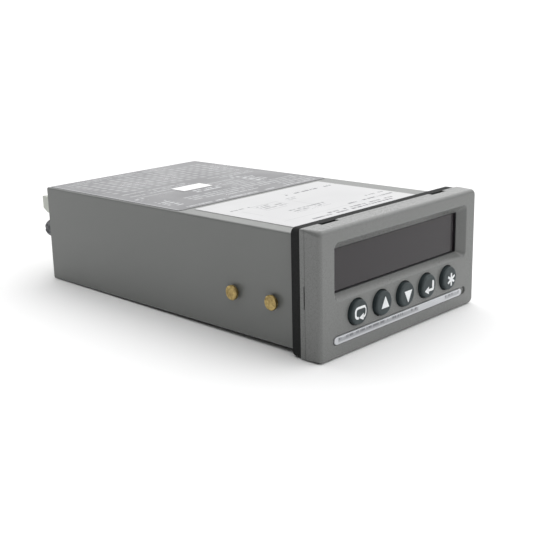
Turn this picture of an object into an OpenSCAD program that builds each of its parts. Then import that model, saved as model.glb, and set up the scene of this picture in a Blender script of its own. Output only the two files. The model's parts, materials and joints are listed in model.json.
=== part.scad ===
// Panel-mount frequency counter for a 92 x 45 mm panel cut-out.
// X runs to the right, +Y to the rear and +Z up, with the display facing -Y.
// The origin is the centre of the panel seat: the plane where the gasket meets the front of the panel.

/* [Bezel] */
// Width of the bezel across the front
bezel_w = 96; // [94:0.5:98]
// Height of the bezel
bezel_h = 47.2; // [47:0.1:48.5]
// Depth of the two bezel mouldings together, from the gasket to the front face
bezel_d = 9.2; // [8.8:0.1:10]
// Depth of the rear frame, the thinner of the two mouldings
frame_d = 2.2; // [2:0.1:2.6]
// Corner radius of the front moulding seen from the front
bezel_r = 2; // [1.8:0.1:3.6]
// Corner radius of the rear frame, which is nearly sharp
frame_r = 0.8; // [0.5:0.1:2]
// Radius of the soft edge around the front face
front_r = 1.5; // [1:0.1:1.7]
// Thickness of the panel gasket
gasket_t = 4; // [3:0.1:5]

/* [Case] */
// Width of the case sleeve
case_w = 91; // [90:0.5:91.5]
// Height of the case sleeve
case_h = 42.6; // [42:0.1:43.5]
// Length of the case behind the panel seat
case_l = 150; // [148:1:160]
// Wall thickness of the case sleeve
case_wall = 2; // [1.8:0.1:2.2]
// How far the centre of the case lies below the centre of the bezel
case_drop = 0.5; // [0:0.1:0.8]

/* [Window] */
// Width of the display opening
window_w = 76; // [74:0.1:76]
// Height of the display opening
window_h = 16.3; // [14:0.1:16.4]
// How far the opening's centre lies to the right of the centre of the bezel
window_x = 0.5; // [0:0.1:0.5]
// Height of the opening's centre above the centre of the bezel
window_z = 7.35; // [7.3:0.05:7.9]
// Width and depth of the 45 degree slope at the top and sides of the opening
window_slope = 2.9; // [2.4:0.1:3]
// Height of the steeper slope below the opening
sill_slope = 2.1; // [1.8:0.1:2.2]
// Depth of the straight black wall between the slope and the window
window_wall = 0.7; // [0.6:0.1:1]

/* [Keys] */
// Distance from one key to the next
key_pitch = 14.1; // [13.5:0.1:14.2]
// Diameter of a key
key_dia = 9.3; // [8.8:0.1:9.6]
// How far a key stands out of the bezel at rest
key_proud = 1.7; // [1.4:0.1:2]
// How far a key travels when it is pressed
key_travel = 1; // [0.8:0.1:1.1]
// How far the row of keys lies below the centre of the bezel
key_drop = 8.8; // [8.6:0.1:9.2]

/* [Terminals] */
// Distance between the poles of a small terminal plug
pole_pitch = 3.81; // [3.5:0.01:3.81]
// Distance between the poles of the supply plug
supply_pitch = 5.08; // [5:0.01:5.08]
// How far a plugged-in terminal plug stands out behind the case
plug_proud = 10.2; // [8:0.1:11]

/* [Hidden] */
$fn = 64;

eps = 0.01;

// Planes of the front, all square to Y
front_y = -gasket_t - bezel_d;
seam_y = -gasket_t - frame_d;
slope_y = front_y + window_slope;
window_y = slope_y + window_wall;
key_wall_y = front_y + 2;
block_d = bezel_d - frame_d;

// Name strip below the keys
strip_x = -1.1;
strip_z = -16.8;
strip_sunk = 0.7;
strip_proud = 0.3;

// The case
case_z = -case_drop;
case_top = case_z + case_h / 2;
case_floor = case_z - case_h / 2 + case_wall;
inner_w = case_w - 2 * case_wall;
inner_h = case_h - 2 * case_wall;

// The rear end
panel_t = 2;
panel_recess = 0.5;
panel_y = case_l - panel_recess;
thumb_x = 40.6;
thumb_z = 0.8;
thumb_r = 4.1;
thumb_l = 7;
thumb_thread_r = 2;

// Side studs for the panel clamps
stud_y = [10.6, 30.5];
stud_z = -5.7;
stud_neck_r = 1.9;
stud_neck_l = 1;
stud_head_r = 2.9;
stud_head_l = 1.2;
stud_shank_r = 1.5;
stud_shank_l = 4;

// Labels on the top of the case
label_t = 0.15;
dark_label_y = 61.5;
dark_label_rear = case_l - 0.7;

// Boards
board_t = 1.6;
board_w = inner_w - 0.6;
board_front = 14;
board_rear = panel_y - panel_t - 0.5;
main_z = case_floor + 2.2;
power_z = 5.9;
main_top = main_z + board_t;
power_top = power_z + board_t;
rail_w = 2;
rail_h = 1.1;
rail_gap = 0.1;
rail_rear = 138;

// Display board and what stands on it
module_w = 37.5;
module_h = 18.8;
module_d = 8;
module_y = window_y + 2.1;
display_y = module_y + module_d;
display_w = 83.8;
display_h = 35;
post_x = 40.6;
post_z = [-15.5, 13];
post_r = 1.5;
post_bore_r = 0.9;

// Keys
key_z = -key_drop;
key_x = [for (i = [-2:2]) i * key_pitch];
key_gap = 0.25;
key_flange_r = key_dia / 2 + 0.55;
key_stem_r = 2;
key_edge_r = 0.8;
switch_w = 6;
switch_d = 3.5;
plunger_r = 1.7;
plunger_y = display_y - switch_d - key_travel - 0.6;
plunger_l = 2.8;

// Terminals: [left end, number of poles, pitch, height of the board below the socket]
end_wall = 2.15;
socket_h = 8;
socket_y = 139;
socket_w = 0.85;
slide_gap = 0.15;
socket_edge = socket_w + slide_gap;
cutout_gap = 0.1;
input_row = [-41.6, 9, pole_pitch, power_top];
output_row = [3, 9, pole_pitch, power_top];
relay_row = [-32.6, 6, pole_pitch, main_top];
supply_row = [5.2, 5, supply_pitch, main_top];
pin_w = 0.9;
screw_y = case_l + 4.6;
screw_r = 1.3;

// Colours
case_grey = [0.40, 0.41, 0.40];
bezel_grey = [0.49, 0.50, 0.50];
soft_black = [0.10, 0.10, 0.11];
key_green = [0.22, 0.26, 0.26];
board_green = [0.08, 0.27, 0.16];
terminal_green = [0.72, 0.75, 0.70];
steel = [0.70, 0.71, 0.72];
brass = [0.66, 0.53, 0.28];

// ---------------------------------------------------------------- shared shapes

// A rectangle with round corners, centred
module round_rect(w, h, r) {
    square([w - 2 * r, h], center = true);
    square([w, h - 2 * r], center = true);
    for (x = [-1, 1], y = [-1, 1]) translate([x * (w / 2 - r), y * (h / 2 - r)]) circle(r);
}

// A slot shape with round ends, centred
module slot_shape(w, h) {
    square([w - h, h], center = true);
    for (x = [-1, 1]) translate([x * (w - h) / 2, 0]) circle(h / 2);
}

// Extrudes an outline drawn in X and Z from y0 to y1
module along_y(y0, y1) {
    translate([0, y1, 0]) rotate([90, 0, 0]) linear_extrude(y1 - y0) children();
}

// Extrudes an outline drawn in Y and Z from x0 to x1
module along_x(x0, x1) {
    translate([x0, 0, 0]) rotate([90, 0, 90]) linear_extrude(x1 - x0) children();
}

// A box given by its lowest and highest corners
module box(low, high) {
    translate(low) cube(high - low);
}

// A cylinder along Y from y0 to y1
module rod_y(x, z, r, y0, y1) {
    translate([x, y1, z]) rotate([90, 0, 0]) cylinder(r = r, h = y1 - y0);
}

// A straight slot cut in a screw head at the origin, along X
module driver_slot(length, width, depth) {
    translate([-length / 2, -width / 2, -depth]) cube([length, width, depth + 1]);
}

// ---------------------------------------------------------------- case

// Two rails inside one side wall that hold the edge of a board
module board_rails(side, z) {
    for (low = [z - rail_gap - rail_h, z + board_t + rail_gap])
        translate([side > 0 ? inner_w / 2 - rail_w : -inner_w / 2 - eps, board_front, low])
            cube([rail_w + eps, rail_rear - board_front, rail_h]);
}

// Block behind the rear panel that takes a thumbscrew
module thumb_boss(side) {
    x0 = side > 0 ? thumb_x - 4 : -inner_w / 2 - eps;
    x1 = side > 0 ? inner_w / 2 + eps : -thumb_x + 4;
    box([x0, panel_y - panel_t - 9, thumb_z - 4], [x1, panel_y - panel_t, thumb_z + 4]);
}

module case_shell() {
    color(case_grey) difference() {
        union() {
            difference() {
                translate([0, 0, case_z]) along_y(-gasket_t, case_l) round_rect(case_w, case_h, 0.8);
                translate([0, 0, case_z]) along_y(-gasket_t - 1, case_l + 1)
                    square([inner_w, inner_h], center = true);
            }
            for (side = [-1, 1]) {
                board_rails(side, main_z);
                board_rails(side, power_z);
                thumb_boss(side);
            }
        }
        for (side = [-1, 1]) {
            rod_y(side * thumb_x, thumb_z, thumb_thread_r + 0.05, panel_y - panel_t - 10, case_l);
            for (y = stud_y) translate([side * (inner_w / 2 - 1), y, stud_z])
                rotate([0, side * 90, 0]) cylinder(r = stud_shank_r + 0.05, h = case_wall + 2);
        }
    }
}

module rear_panel() {
    color(case_grey) difference() {
        translate([0, 0, case_z]) along_y(panel_y - panel_t, panel_y)
            square([inner_w - 0.3, inner_h - 0.3], center = true);
        for (side = [-1, 1])
            rod_y(side * thumb_x, thumb_z, thumb_thread_r + 0.2, panel_y - panel_t - 1, case_l);
        for (row = [input_row, output_row, relay_row, supply_row])
            box([row[0] - socket_edge - cutout_gap, panel_y - panel_t - 1, row[3] - cutout_gap],
                [row[0] + plug_w(row) + socket_edge + cutout_gap, case_l, row[3] + socket_h + cutout_gap]);
    }
}

module chassis_thumbscrews() {
    color([0.29, 0.30, 0.31]) for (side = [-1, 1]) {
        difference() {
            union() {
                rod_y(side * thumb_x, thumb_z, thumb_r - 1.5, panel_y, case_l + 0.1);
                rod_y(side * thumb_x, thumb_z, thumb_r, case_l + 0.05, panel_y + thumb_l - 0.8);
                rod_y(side * thumb_x, thumb_z, thumb_r - 0.6, panel_y + thumb_l - 0.9, panel_y + thumb_l);
                rod_y(side * thumb_x, thumb_z, thumb_thread_r, panel_y - panel_t - 8, panel_y + eps);
            }
            translate([side * thumb_x, panel_y + thumb_l, thumb_z])
                rotate([-90, 0, 0]) driver_slot(2 * thumb_r, 1, 1.2);
        }
    }
}

module clamp_studs() {
    color(brass) for (side = [-1, 1], y = stud_y)
        translate([side * case_w / 2, y, stud_z]) rotate([0, side * 90, 0]) {
            translate([0, 0, -stud_shank_l]) cylinder(r = stud_shank_r, h = stud_shank_l + eps);
            cylinder(r = stud_neck_r, h = stud_neck_l + eps);
            translate([0, 0, stud_neck_l]) cylinder(r = stud_head_r, h = stud_head_l);
        }
}

module panel_gasket() {
    color(soft_black) difference() {
        along_y(-gasket_t, 0) round_rect(bezel_w - 0.3, bezel_h - 0.3, 2.2);
        translate([0, 0, case_z]) along_y(-gasket_t - 1, 1)
            round_rect(case_w + 0.3, case_h + 0.3, 0.9);
    }
}

module connection_label() {
    color([0.42, 0.43, 0.45]) translate([0, (dark_label_y + dark_label_rear) / 2, case_top])
        linear_extrude(label_t) round_rect(case_w - 2.4, dark_label_rear - dark_label_y, 1.5);
}

module rating_label() {
    color([0.90, 0.90, 0.91]) translate([-1.4, 32, case_top])
        linear_extrude(label_t) round_rect(74.2, 54, 1);
}

// ---------------------------------------------------------------- bezel

// Outline of one side of the bezel front, drawn outwards from the middle of its corner arc
module rim_profile() {
    translate([-eps, 0]) square([bezel_r + eps, block_d - front_r]);
    translate([-eps, 0]) square([bezel_r - front_r + eps, block_d]);
    translate([bezel_r - front_r, block_d - front_r]) circle(front_r);
}

// Solid block of the bezel front with a soft front edge and round corners, standing on z = 0
module soft_block(w, h) {
    sx = w / 2 - bezel_r;
    sy = h / 2 - bezel_r;
    translate([-sx, -sy, 0]) cube([2 * sx, 2 * sy, block_d]);
    for (i = [0:3]) {
        along = i % 2 == 0 ? sy : sx;
        across = i % 2 == 0 ? sx : sy;
        rotate([0, 0, 90 * i]) {
            translate([across, along, 0]) rotate([90, 0, 0]) linear_extrude(2 * along) rim_profile();
            translate([across, along, 0]) rotate_extrude(angle = 90) intersection() {
                rim_profile();
                square([bezel_r + 1, bezel_d]);
            }
        }
    }
}

module key_holes(r, y0, y1) {
    for (x = key_x) rod_y(x, key_z, r, y0, y1);
}

module bezel_front() {
    color(bezel_grey) difference() {
        union() {
            difference() {
                translate([0, seam_y, 0]) rotate([90, 0, 0]) soft_block(bezel_w, bezel_h);
                // hollow behind the display and the keys
                along_y(window_y, seam_y + 1) square([bezel_w - 5, bezel_h - 5], center = true);
                box([-43.5, key_wall_y, -21], [43.5, seam_y + 1, window_z - window_h / 2 - sill_slope + 0.35]);
            }
            for (x = [-1, 1] * post_x, z = post_z) rod_y(x, z, post_r, key_wall_y - 0.5, display_y);
        }
        // the sloped frame around the display opening
        hull() {
            translate([window_x, 0, window_z]) along_y(slope_y - eps, slope_y)
                round_rect(window_w, window_h, 0.6, $fn = 32);
            translate([window_x, 0, window_z + (window_slope - sill_slope) / 2])
                along_y(front_y - 0.1, front_y - 0.1 + eps)
                round_rect(window_w + 2 * window_slope + 0.2, window_h + window_slope + sill_slope + 0.2, 2.4, $fn = 32);
        }
        translate([window_x, 0, window_z]) along_y(slope_y - 0.5, window_y + 1)
            round_rect(window_w, window_h, 0.6);
        // shallow pocket for the name strip
        translate([strip_x + 1.35, 0, strip_z]) along_y(front_y - 1, front_y + strip_sunk) slot_shape(82.9, 3.6);
        key_holes(key_dia / 2 + key_gap, front_y - 1, key_wall_y + 1);
        for (x = [-1, 1] * post_x, z = post_z) rod_y(x, z, post_bore_r, display_y - 5, display_y + 1);
    }
}

module bezel_rear_frame() {
    lip_w = inner_w - 0.3;
    lip_h = inner_h - 0.3;
    color(bezel_grey) difference() {
        union() {
            along_y(seam_y, -gasket_t) round_rect(bezel_w, bezel_h, frame_r);
            translate([0, 0, case_z]) along_y(-gasket_t - eps, 5) square([lip_w, lip_h], center = true);
        }
        translate([0, 0, case_z]) along_y(seam_y - 1, 6) square([lip_w - 2.4, lip_h - 2.4], center = true);
        // unclipping notches in the top and bottom edges
        for (x = [-33.7, 32.6], z = [-1, 1])
            translate([x - 4.6, seam_y - 1, z * bezel_h / 2 - 1.7]) cube([9.2, frame_d + 2, 3.4]);
        // prying slot in the middle of each side
        for (x = [-1, 1])
            translate([x * bezel_w / 2 - 0.8, seam_y - 0.1, -4.7]) cube([1.6, 0.6, 8.2]);
    }
}

module display_mask() {
    color(soft_black) translate([window_x, 0, window_z]) difference() {
        union() {
            along_y(slope_y + 0.1, window_y) round_rect(window_w - 0.2, window_h - 0.2, 0.6);
            along_y(window_y, window_y + 1.2) square([window_w + 1, window_h + 2], center = true);
        }
        along_y(slope_y - 1, window_y + 2) round_rect(window_w - 0.7, window_h - 0.7, 0.4);
    }
}

module display_window() {
    color([0.30, 0.27, 0.29]) translate([window_x, 0, window_z])
        along_y(window_y, window_y + 1.2) round_rect(window_w - 0.8, window_h - 0.8, 0.4);
}

module label_strip() {
    color([0.80, 0.81, 0.82]) translate([strip_x, 0, strip_z])
        along_y(front_y - strip_proud, front_y + strip_sunk) slot_shape(79.4, 2.8);
}

module keypad_mat() {
    color(key_green) difference() {
        box([-43, key_wall_y, -20.8], [43, key_wall_y + 1, -2.8]);
        key_holes(key_flange_r + 0.3, key_wall_y - 1, key_wall_y + 2);
        for (x = [-1, 1] * post_x) rod_y(x, post_z[0], post_r + 0.1, key_wall_y - 1, key_wall_y + 2);
    }
}

// ---------------------------------------------------------------- keys

// A key that stands along -Y: cap with a soft edge, retaining flange and stem
module key(i) {
    stem_l = plunger_y - (key_wall_y + 1.2);
    cap_l = (key_wall_y + 1.2) - (front_y - key_proud);
    color(key_green) translate([key_x[i], plunger_y, key_z]) rotate([90, 0, 0]) rotate_extrude() {
        square([key_stem_r, stem_l + eps]);
        translate([0, stem_l]) square([key_flange_r, 1]);
        translate([0, stem_l]) square([key_dia / 2, cap_l - key_edge_r]);
        translate([0, stem_l]) square([key_dia / 2 - key_edge_r, cap_l]);
        translate([key_dia / 2 - key_edge_r, stem_l + cap_l - key_edge_r]) circle(key_edge_r);
    }
}

module switch_plunger(i) {
    color(soft_black) rod_y(key_x[i], key_z, plunger_r, plunger_y, plunger_y + plunger_l);
}

module key_switch(i) {
    color([0.16, 0.16, 0.17]) difference() {
        translate([key_x[i], 0, key_z]) along_y(display_y - switch_d, display_y)
            square(switch_w, center = true);
        rod_y(key_x[i], key_z, plunger_r + 0.08, display_y - switch_d - 1, display_y - 0.5);
    }
}

// ---------------------------------------------------------------- display electronics

module display_board() {
    color(board_green) difference() {
        translate([0, 0, case_z]) along_y(display_y, display_y + board_t)
            square([display_w, display_h], center = true);
        for (x = [-1, 1] * post_x, z = post_z)
            rod_y(x, z, post_bore_r + 0.1, display_y - 1, display_y + board_t + 1);
    }
}

module display_board_screws() {
    back = display_y + board_t;
    color(steel) for (x = [-1, 1] * post_x, z = post_z) difference() {
        union() {
            rod_y(x, z, post_bore_r - 0.05, display_y - 4, back + eps);
            rod_y(x, z, 1.5, back, back + 1.3);
        }
        translate([x, back + 1.3, z]) rotate([-90, 0, 0]) driver_slot(3.4, 0.5, 0.6);
    }
}

module digit_module(side) {
    color([0.13, 0.13, 0.14]) translate([window_x + side * (module_w / 2 + 0.1), 0, window_z])
        along_y(module_y, display_y) square([module_w, module_h], center = true);
}

module display_connector() {
    color(soft_black) box([-15, display_y + board_t, -12], [15, display_y + board_t + 5, -6]);
}

// Flat cable from the display board down to the main board, as a folded strip
module ribbon_cable() {
    y0 = display_y + board_t + 5;
    t = 0.9;
    route = [[y0, -9.4], [y0 + 5, -9.4], [y0 + 8, -8], [y0 + 11, -9.4], [y0 + 12, -12], [y0 + 12, main_top]];
    color([0.62, 0.63, 0.65]) along_x(-12.7, 12.7)
        polygon(concat(route, [for (i = [5:-1:0]) route[i] + (i > 3 ? [t, 0] : [0, t])]));
}

// ---------------------------------------------------------------- boards and parts behind the display

module main_board() {
    color(board_green) difference() {
        translate([0, (board_front + board_rear) / 2, main_z + board_t / 2])
            cube([board_w, board_rear - board_front, board_t], center = true);
        for (p = pillar_places) translate([p[0], p[1], main_z - 1]) cylinder(r = 1.6, h = board_t + 2);
    }
}

module power_board() {
    color(board_green) difference() {
        translate([0, (board_front + board_rear) / 2, power_z + board_t / 2])
            cube([board_w, board_rear - board_front, board_t], center = true);
        for (p = pillar_places) translate([p[0], p[1], power_z - 1]) cylinder(r = 1.6, h = board_t + 2);
    }
}

// Where the four pillars between the boards stand
pillar_places = [for (x = [-1, 1] * 38, y = [20, 128]) [x, y]];

// Threaded pillars between the two boards, with a short stud through each board
module board_pillars() {
    color(brass) for (p = pillar_places) translate([p[0], p[1], 0]) {
        translate([0, 0, main_top]) cylinder(r = 2.5, h = power_z - main_top);
        translate([0, 0, main_z - 1.2]) cylinder(r = 1.5, h = power_top - main_z + 2.8);
    }
}

// Laminated core with two windows, standing on the main board
core_place = [-24, 110, 0];
core_size = [32, 16, 21];
leg_w = 10;
coil_h = 14;

module transformer_core() {
    gap = (core_size[0] - leg_w) / 2 - 5.5;
    color([0.35, 0.34, 0.33]) translate([core_place[0], core_place[1], main_top]) difference() {
        translate([-core_size[0] / 2, -core_size[1] / 2, 0]) cube(core_size);
        for (side = [-1, 1])
            translate([side * (leg_w + gap) / 2 - gap / 2, -core_size[1], (core_size[2] - coil_h) / 2])
                cube([gap, 2 * core_size[1], coil_h]);
    }
}

module transformer_coil() {
    gap = (core_size[0] - leg_w) / 2 - 5.5;
    coil_w = leg_w + 2 * gap - 0.3;
    color([0.78, 0.62, 0.22]) translate([core_place[0], core_place[1], main_top + core_size[2] / 2]) difference() {
        cube([coil_w, core_size[1] + 9, coil_h - 0.2], center = true);
        cube([leg_w + 0.2, core_size[1] + 0.2, coil_h + 1], center = true);
    }
}

module relay(x) {
    color([0.12, 0.16, 0.30]) box([x, 112, main_top], [x + 10, 132, main_top + 15]);
}

module filter_capacitor() {
    color([0.10, 0.12, 0.20]) translate([4, 86, main_top]) rotate_extrude() difference() {
        square([8, 21]);
        translate([8.6, 18.5]) circle(1);
    }
}

fuse_place = [30, 84, 0];

module fuse() {
    color([0.80, 0.82, 0.84]) translate([fuse_place[0], fuse_place[1], main_top + 5])
        rotate([90, 0, 0]) cylinder(r = 2.6, h = 20, center = true);
}

module fuse_clips() {
    color(steel) for (end = [-1, 1]) translate([fuse_place[0], fuse_place[1] + end * 7.5, main_top])
        rotate([90, 0, 0]) linear_extrude(5, center = true) difference() {
            translate([-3.3, 0]) square([6.6, 7.4]);
            translate([0, 5]) circle(2.65);
            translate([-2.2, 5]) square([4.4, 4]);
        }
}

module heat_sink() {
    fins = 7;
    color([0.15, 0.15, 0.16]) translate([-36, 74, main_top]) {
        cube([3, 22, 20]);
        for (i = [0:fins - 1]) translate([3 - eps, i * 22 / fins + 0.6, 0]) cube([8, 1.3, 20]);
    }
}

module voltage_regulator() {
    color(soft_black) translate([-40.5, 80, main_top]) {
        translate([0, 0, 3]) cube([4.5, 10, 9]);
        translate([3.2, 0, 12 - eps]) cube([1.3, 10, 6.4]);
        for (i = [-1:1]) translate([2, 5 + 2.54 * i - 0.4, 0]) cube([0.6, 0.8, 3 + eps]);
    }
}

module processor() {
    color(soft_black) translate([-22, 44, main_top]) difference() {
        translate([0, 0, 2]) cube([24, 24, 4], center = true);
        translate([-9, 9, 3.6]) cylinder(r = 1.2, h = 1);
    }
}

module timebase_crystal() {
    color(steel) translate([2, 44, main_top]) linear_extrude(3.6) slot_shape(11.4, 4.7);
}

// ---------------------------------------------------------------- terminals

function plug_w(row) = row[1] * row[2] + 2 * end_wall;
function pole_x(row, i) = row[0] + end_wall + (i + 0.5) * row[2];

// Open shroud on the rear edge of a board, with one square pin for each pole
module terminal_socket(row) {
    inner_low = [row[0] - slide_gap, socket_y + 2, row[3] + socket_w];
    inner_high = [row[0] + plug_w(row) + slide_gap, panel_y + 1, row[3] + socket_h - socket_w];
    color(terminal_green) difference() {
        box([row[0] - socket_edge, socket_y, row[3]],
            [row[0] + plug_w(row) + socket_edge, panel_y, row[3] + socket_h]);
        box(inner_low, inner_high);
    }
    color(terminal_green) for (i = [0:row[1] - 1])
        translate([pole_x(row, i) - pin_w / 2, socket_y + 2 - eps, row[3] + socket_h / 2 - pin_w / 2])
            cube([pin_w, 6, pin_w]);
}

// Plug: a tongue that fits the shroud and a head with wire entries and screw wells
module terminal_plug(row) {
    low = row[3] + socket_w + slide_gap;
    high = row[3] + socket_h - socket_w - slide_gap;
    rear = case_l + plug_proud;
    head_low = row[3] + 0.2;
    head_high = row[3] + socket_h - 0.2;
    color(terminal_green) difference() {
        union() {
            box([row[0], socket_y + 2.3, low], [row[0] + plug_w(row), case_l + eps, high]);
            along_x(row[0], row[0] + plug_w(row)) polygon([
                [case_l, head_low], [rear - 3, head_low], [rear, head_low + 2],
                [rear, head_high - 0.6], [rear - 0.6, head_high], [case_l, head_high]
            ]);
        }
        for (i = [0:row[1] - 1]) {
            // pin well, wire entry and screw well of one pole
            translate([pole_x(row, i) - pin_w / 2 - 0.2, socket_y + 1, row[3] + socket_h / 2 - pin_w / 2 - 0.2])
                cube([pin_w + 0.4, 8.5, pin_w + 0.4]);
            translate([pole_x(row, i) - 1.3, rear - 6.5, row[3] + 2.6]) cube([2.6, 7, 2.8]);
            translate([pole_x(row, i), screw_y, head_high - 1.7]) cylinder(r = screw_r + 0.15, h = 3);
        }
    }
}

module plug_screws(row) {
    head_high = row[3] + socket_h - 0.2;
    color(steel) for (i = [0:row[1] - 1]) translate([pole_x(row, i), screw_y, head_high - 1.7]) difference() {
        cylinder(r = screw_r, h = 1.4);
        translate([0, 0, 1.4]) driver_slot(3, 0.5, 0.6);
    }
}

// ---------------------------------------------------------------- one line for each piece

case_shell();
rear_panel();
chassis_thumbscrews();
clamp_studs();
panel_gasket();
bezel_rear_frame();
bezel_front();
display_mask();
display_window();
label_strip();
keypad_mat();
display_board();
display_board_screws();
digit_module(-1);  // digit_module_left
digit_module(1);  // digit_module_right
display_connector();
ribbon_cable();
main_board();
power_board();
board_pillars();
transformer_core();
transformer_coil();
relay(8);  // relay_1
relay(22);  // relay_2
filter_capacitor();
fuse();
fuse_clips();
heat_sink();
voltage_regulator();
processor();
timebase_crystal();
terminal_socket(input_row);  // input_socket
terminal_socket(output_row);  // output_socket
terminal_socket(relay_row);  // relay_socket
terminal_socket(supply_row);  // supply_socket
terminal_plug(input_row);  // input_plug
terminal_plug(output_row);  // output_plug
terminal_plug(relay_row);  // relay_plug
terminal_plug(supply_row);  // supply_plug
plug_screws(input_row);  // input_plug_screws
plug_screws(output_row);  // output_plug_screws
plug_screws(relay_row);  // relay_plug_screws
plug_screws(supply_row);  // supply_plug_screws
key_switch(0);  // key_switch_1
key_switch(1);  // key_switch_2
key_switch(2);  // key_switch_3
key_switch(3);  // key_switch_4
key_switch(4);  // key_switch_5
key(0);  // key_scroll
key(1);  // key_up
key(2);  // key_down
key(3);  // key_enter
key(4);  // key_star
switch_plunger(0);  // switch_plunger_1
switch_plunger(1);  // switch_plunger_2
switch_plunger(2);  // switch_plunger_3
switch_plunger(3);  // switch_plunger_4
switch_plunger(4);  // switch_plunger_5
connection_label();
rating_label();
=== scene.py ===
"""Looks of a panel-mount frequency counter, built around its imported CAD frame.

The frame gives every size and place. Each sub-assembly is a class that models its pieces with Blender's
own modelling operators and dresses them, and each finish is a frozen dataclass that makes one material.
Lengths are in millimetres, and the bench functions turn them into metres.
"""

from __future__ import annotations

import json
import logging
import math
from abc import ABC, abstractmethod
from contextlib import contextmanager
from dataclasses import dataclass, field
from enum import Enum
from typing import Any, Callable, Iterator, Sequence

import bpy
from mathutils import Matrix, Vector

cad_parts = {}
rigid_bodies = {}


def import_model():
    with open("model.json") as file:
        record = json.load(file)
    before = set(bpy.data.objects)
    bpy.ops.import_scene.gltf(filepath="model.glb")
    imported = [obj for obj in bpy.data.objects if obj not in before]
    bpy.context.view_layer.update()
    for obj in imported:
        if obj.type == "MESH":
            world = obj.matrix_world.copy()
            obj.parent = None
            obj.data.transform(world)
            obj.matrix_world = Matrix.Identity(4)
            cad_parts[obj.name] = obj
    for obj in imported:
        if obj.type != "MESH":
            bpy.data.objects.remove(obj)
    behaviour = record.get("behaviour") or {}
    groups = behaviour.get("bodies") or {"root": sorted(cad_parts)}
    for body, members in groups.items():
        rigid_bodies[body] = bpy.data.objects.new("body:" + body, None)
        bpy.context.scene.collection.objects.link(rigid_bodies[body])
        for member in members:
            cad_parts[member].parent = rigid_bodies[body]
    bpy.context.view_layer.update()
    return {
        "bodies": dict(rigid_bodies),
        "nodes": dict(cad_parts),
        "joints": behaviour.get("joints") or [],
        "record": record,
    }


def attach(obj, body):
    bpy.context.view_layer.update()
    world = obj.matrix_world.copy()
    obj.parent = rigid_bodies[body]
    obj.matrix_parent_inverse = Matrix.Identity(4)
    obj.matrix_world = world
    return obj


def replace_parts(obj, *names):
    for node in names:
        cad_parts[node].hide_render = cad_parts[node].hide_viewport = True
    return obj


MM = 0.001
# Vertices this close are one, and an edge this near a plane lies in it.
MERGE = 0.002 * MM
NEAR = 0.02 * MM
# Faces that turn by less than this are one flat, in degrees.
FLAT = 1.0
HOUSING = "housing"
FRAME: dict[str, Any] = {}
log = logging.getLogger("frequency_counter")

Colour = tuple[float, float, float, float]
Pair = tuple[float, float]
Triple = tuple[float, float, float]
Piece = bpy.types.Object
Tree = bpy.types.NodeTree
Node = bpy.types.Node
Socket = bpy.types.NodeSocket
EdgeTest = Callable[[Vector, Vector], bool]


class Axis(Enum):
    """A direction that a turned piece grows along."""

    LEFT = Vector((-1, 0, 0))
    FRONT = Vector((0, -1, 0))
    REAR = Vector((0, 1, 0))


class Pick(Enum):
    """What a test in edit mode chooses among."""

    VERT = "VERT"
    EDGE = "EDGE"
    FACE = "FACE"


# ------------------------------------------------------------------ modelling bench


def take(*pieces: Piece) -> Piece:
    """Select only these pieces and make the first one active.

    Args:
        pieces: the objects to select.

    Returns:
        The first of them.
    """
    if bpy.context.object and bpy.context.object.mode != "OBJECT":
        bpy.ops.object.mode_set(mode="OBJECT")
    bpy.ops.object.select_all(action="DESELECT")
    for piece in pieces:
        piece.select_set(True)
    bpy.context.view_layer.objects.active = pieces[0]
    return pieces[0]


def settle(name: str) -> Piece:
    """Name the active piece and move its place into its mesh.

    Args:
        name: the piece's name.

    Returns:
        The piece, with its object at the origin, unturned and unscaled.
    """
    piece = bpy.context.object
    piece.name = name
    piece.data.name = name
    bpy.ops.object.transform_apply(location=True, rotation=True, scale=True)
    return piece


def box(name: str, low: Sequence[float], high: Sequence[float]) -> Piece:
    """Add a cube primitive that fills the box from low to high.

    Args:
        name: the piece's name.
        low: the lowest corner.
        high: the highest corner.

    Returns:
        The new piece.
    """
    bpy.ops.object.select_all(action="DESELECT")
    size = [(b - a) * MM for a, b in zip(low, high)]
    centre = [(a + b) / 2 * MM for a, b in zip(low, high)]
    bpy.ops.mesh.primitive_cube_add(size=1, location=centre, scale=size)
    return settle(name)


def rod(name: str, start: Sequence[float], axis: Axis, radius: float, length: float,
        sides: int = 64) -> Piece:
    """Add a cylinder primitive that runs from start along axis.

    Args:
        name: the piece's name.
        start: the centre of its first end.
        axis: the way it grows.
        radius: its radius.
        length: its length.
        sides: how many sides it has.

    Returns:
        The new piece.
    """
    bpy.ops.object.select_all(action="DESELECT")
    turn = Vector((0, 0, 1)).rotation_difference(axis.value).to_euler()
    centre = (Vector(start) + axis.value * length / 2) * MM
    bpy.ops.mesh.primitive_cylinder_add(vertices=sides, radius=radius * MM, depth=length * MM,
                                        location=centre, rotation=turn)
    return settle(name)


def runs_along(axis: int) -> EdgeTest:
    """A test for edges that run along one row axis (0 for X, 1 for Y, 2 for Z)."""
    return lambda a, b: abs(a[axis] - b[axis]) > 0.99 * (a - b).length


def lies_at(axis: int, value: float, inside: Sequence[float] | None = None) -> EdgeTest:
    """A test for edges in the plane where a row axis has this value.

    Args:
        axis: 0 for X, 1 for Y, 2 for Z.
        value: the plane's place on that axis.
        inside: if given, the edge's middle is no further than this from the origin on each axis.

    Returns:
        The test.
    """
    reach = [v * MM for v in inside or (1000, 1000, 1000)]

    def test(a: Vector, b: Vector) -> bool:
        """Tell whether an edge is in the plane and within reach.

        Args:
            a: one end of the edge.
            b: its other end.

        Returns:
            Whether it is.
        """
        if max(abs(a[axis] - value * MM), abs(b[axis] - value * MM)) > NEAR:
            return False
        return all(abs(v) <= far for v, far in zip((a + b) / 2, reach))

    return test


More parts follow.
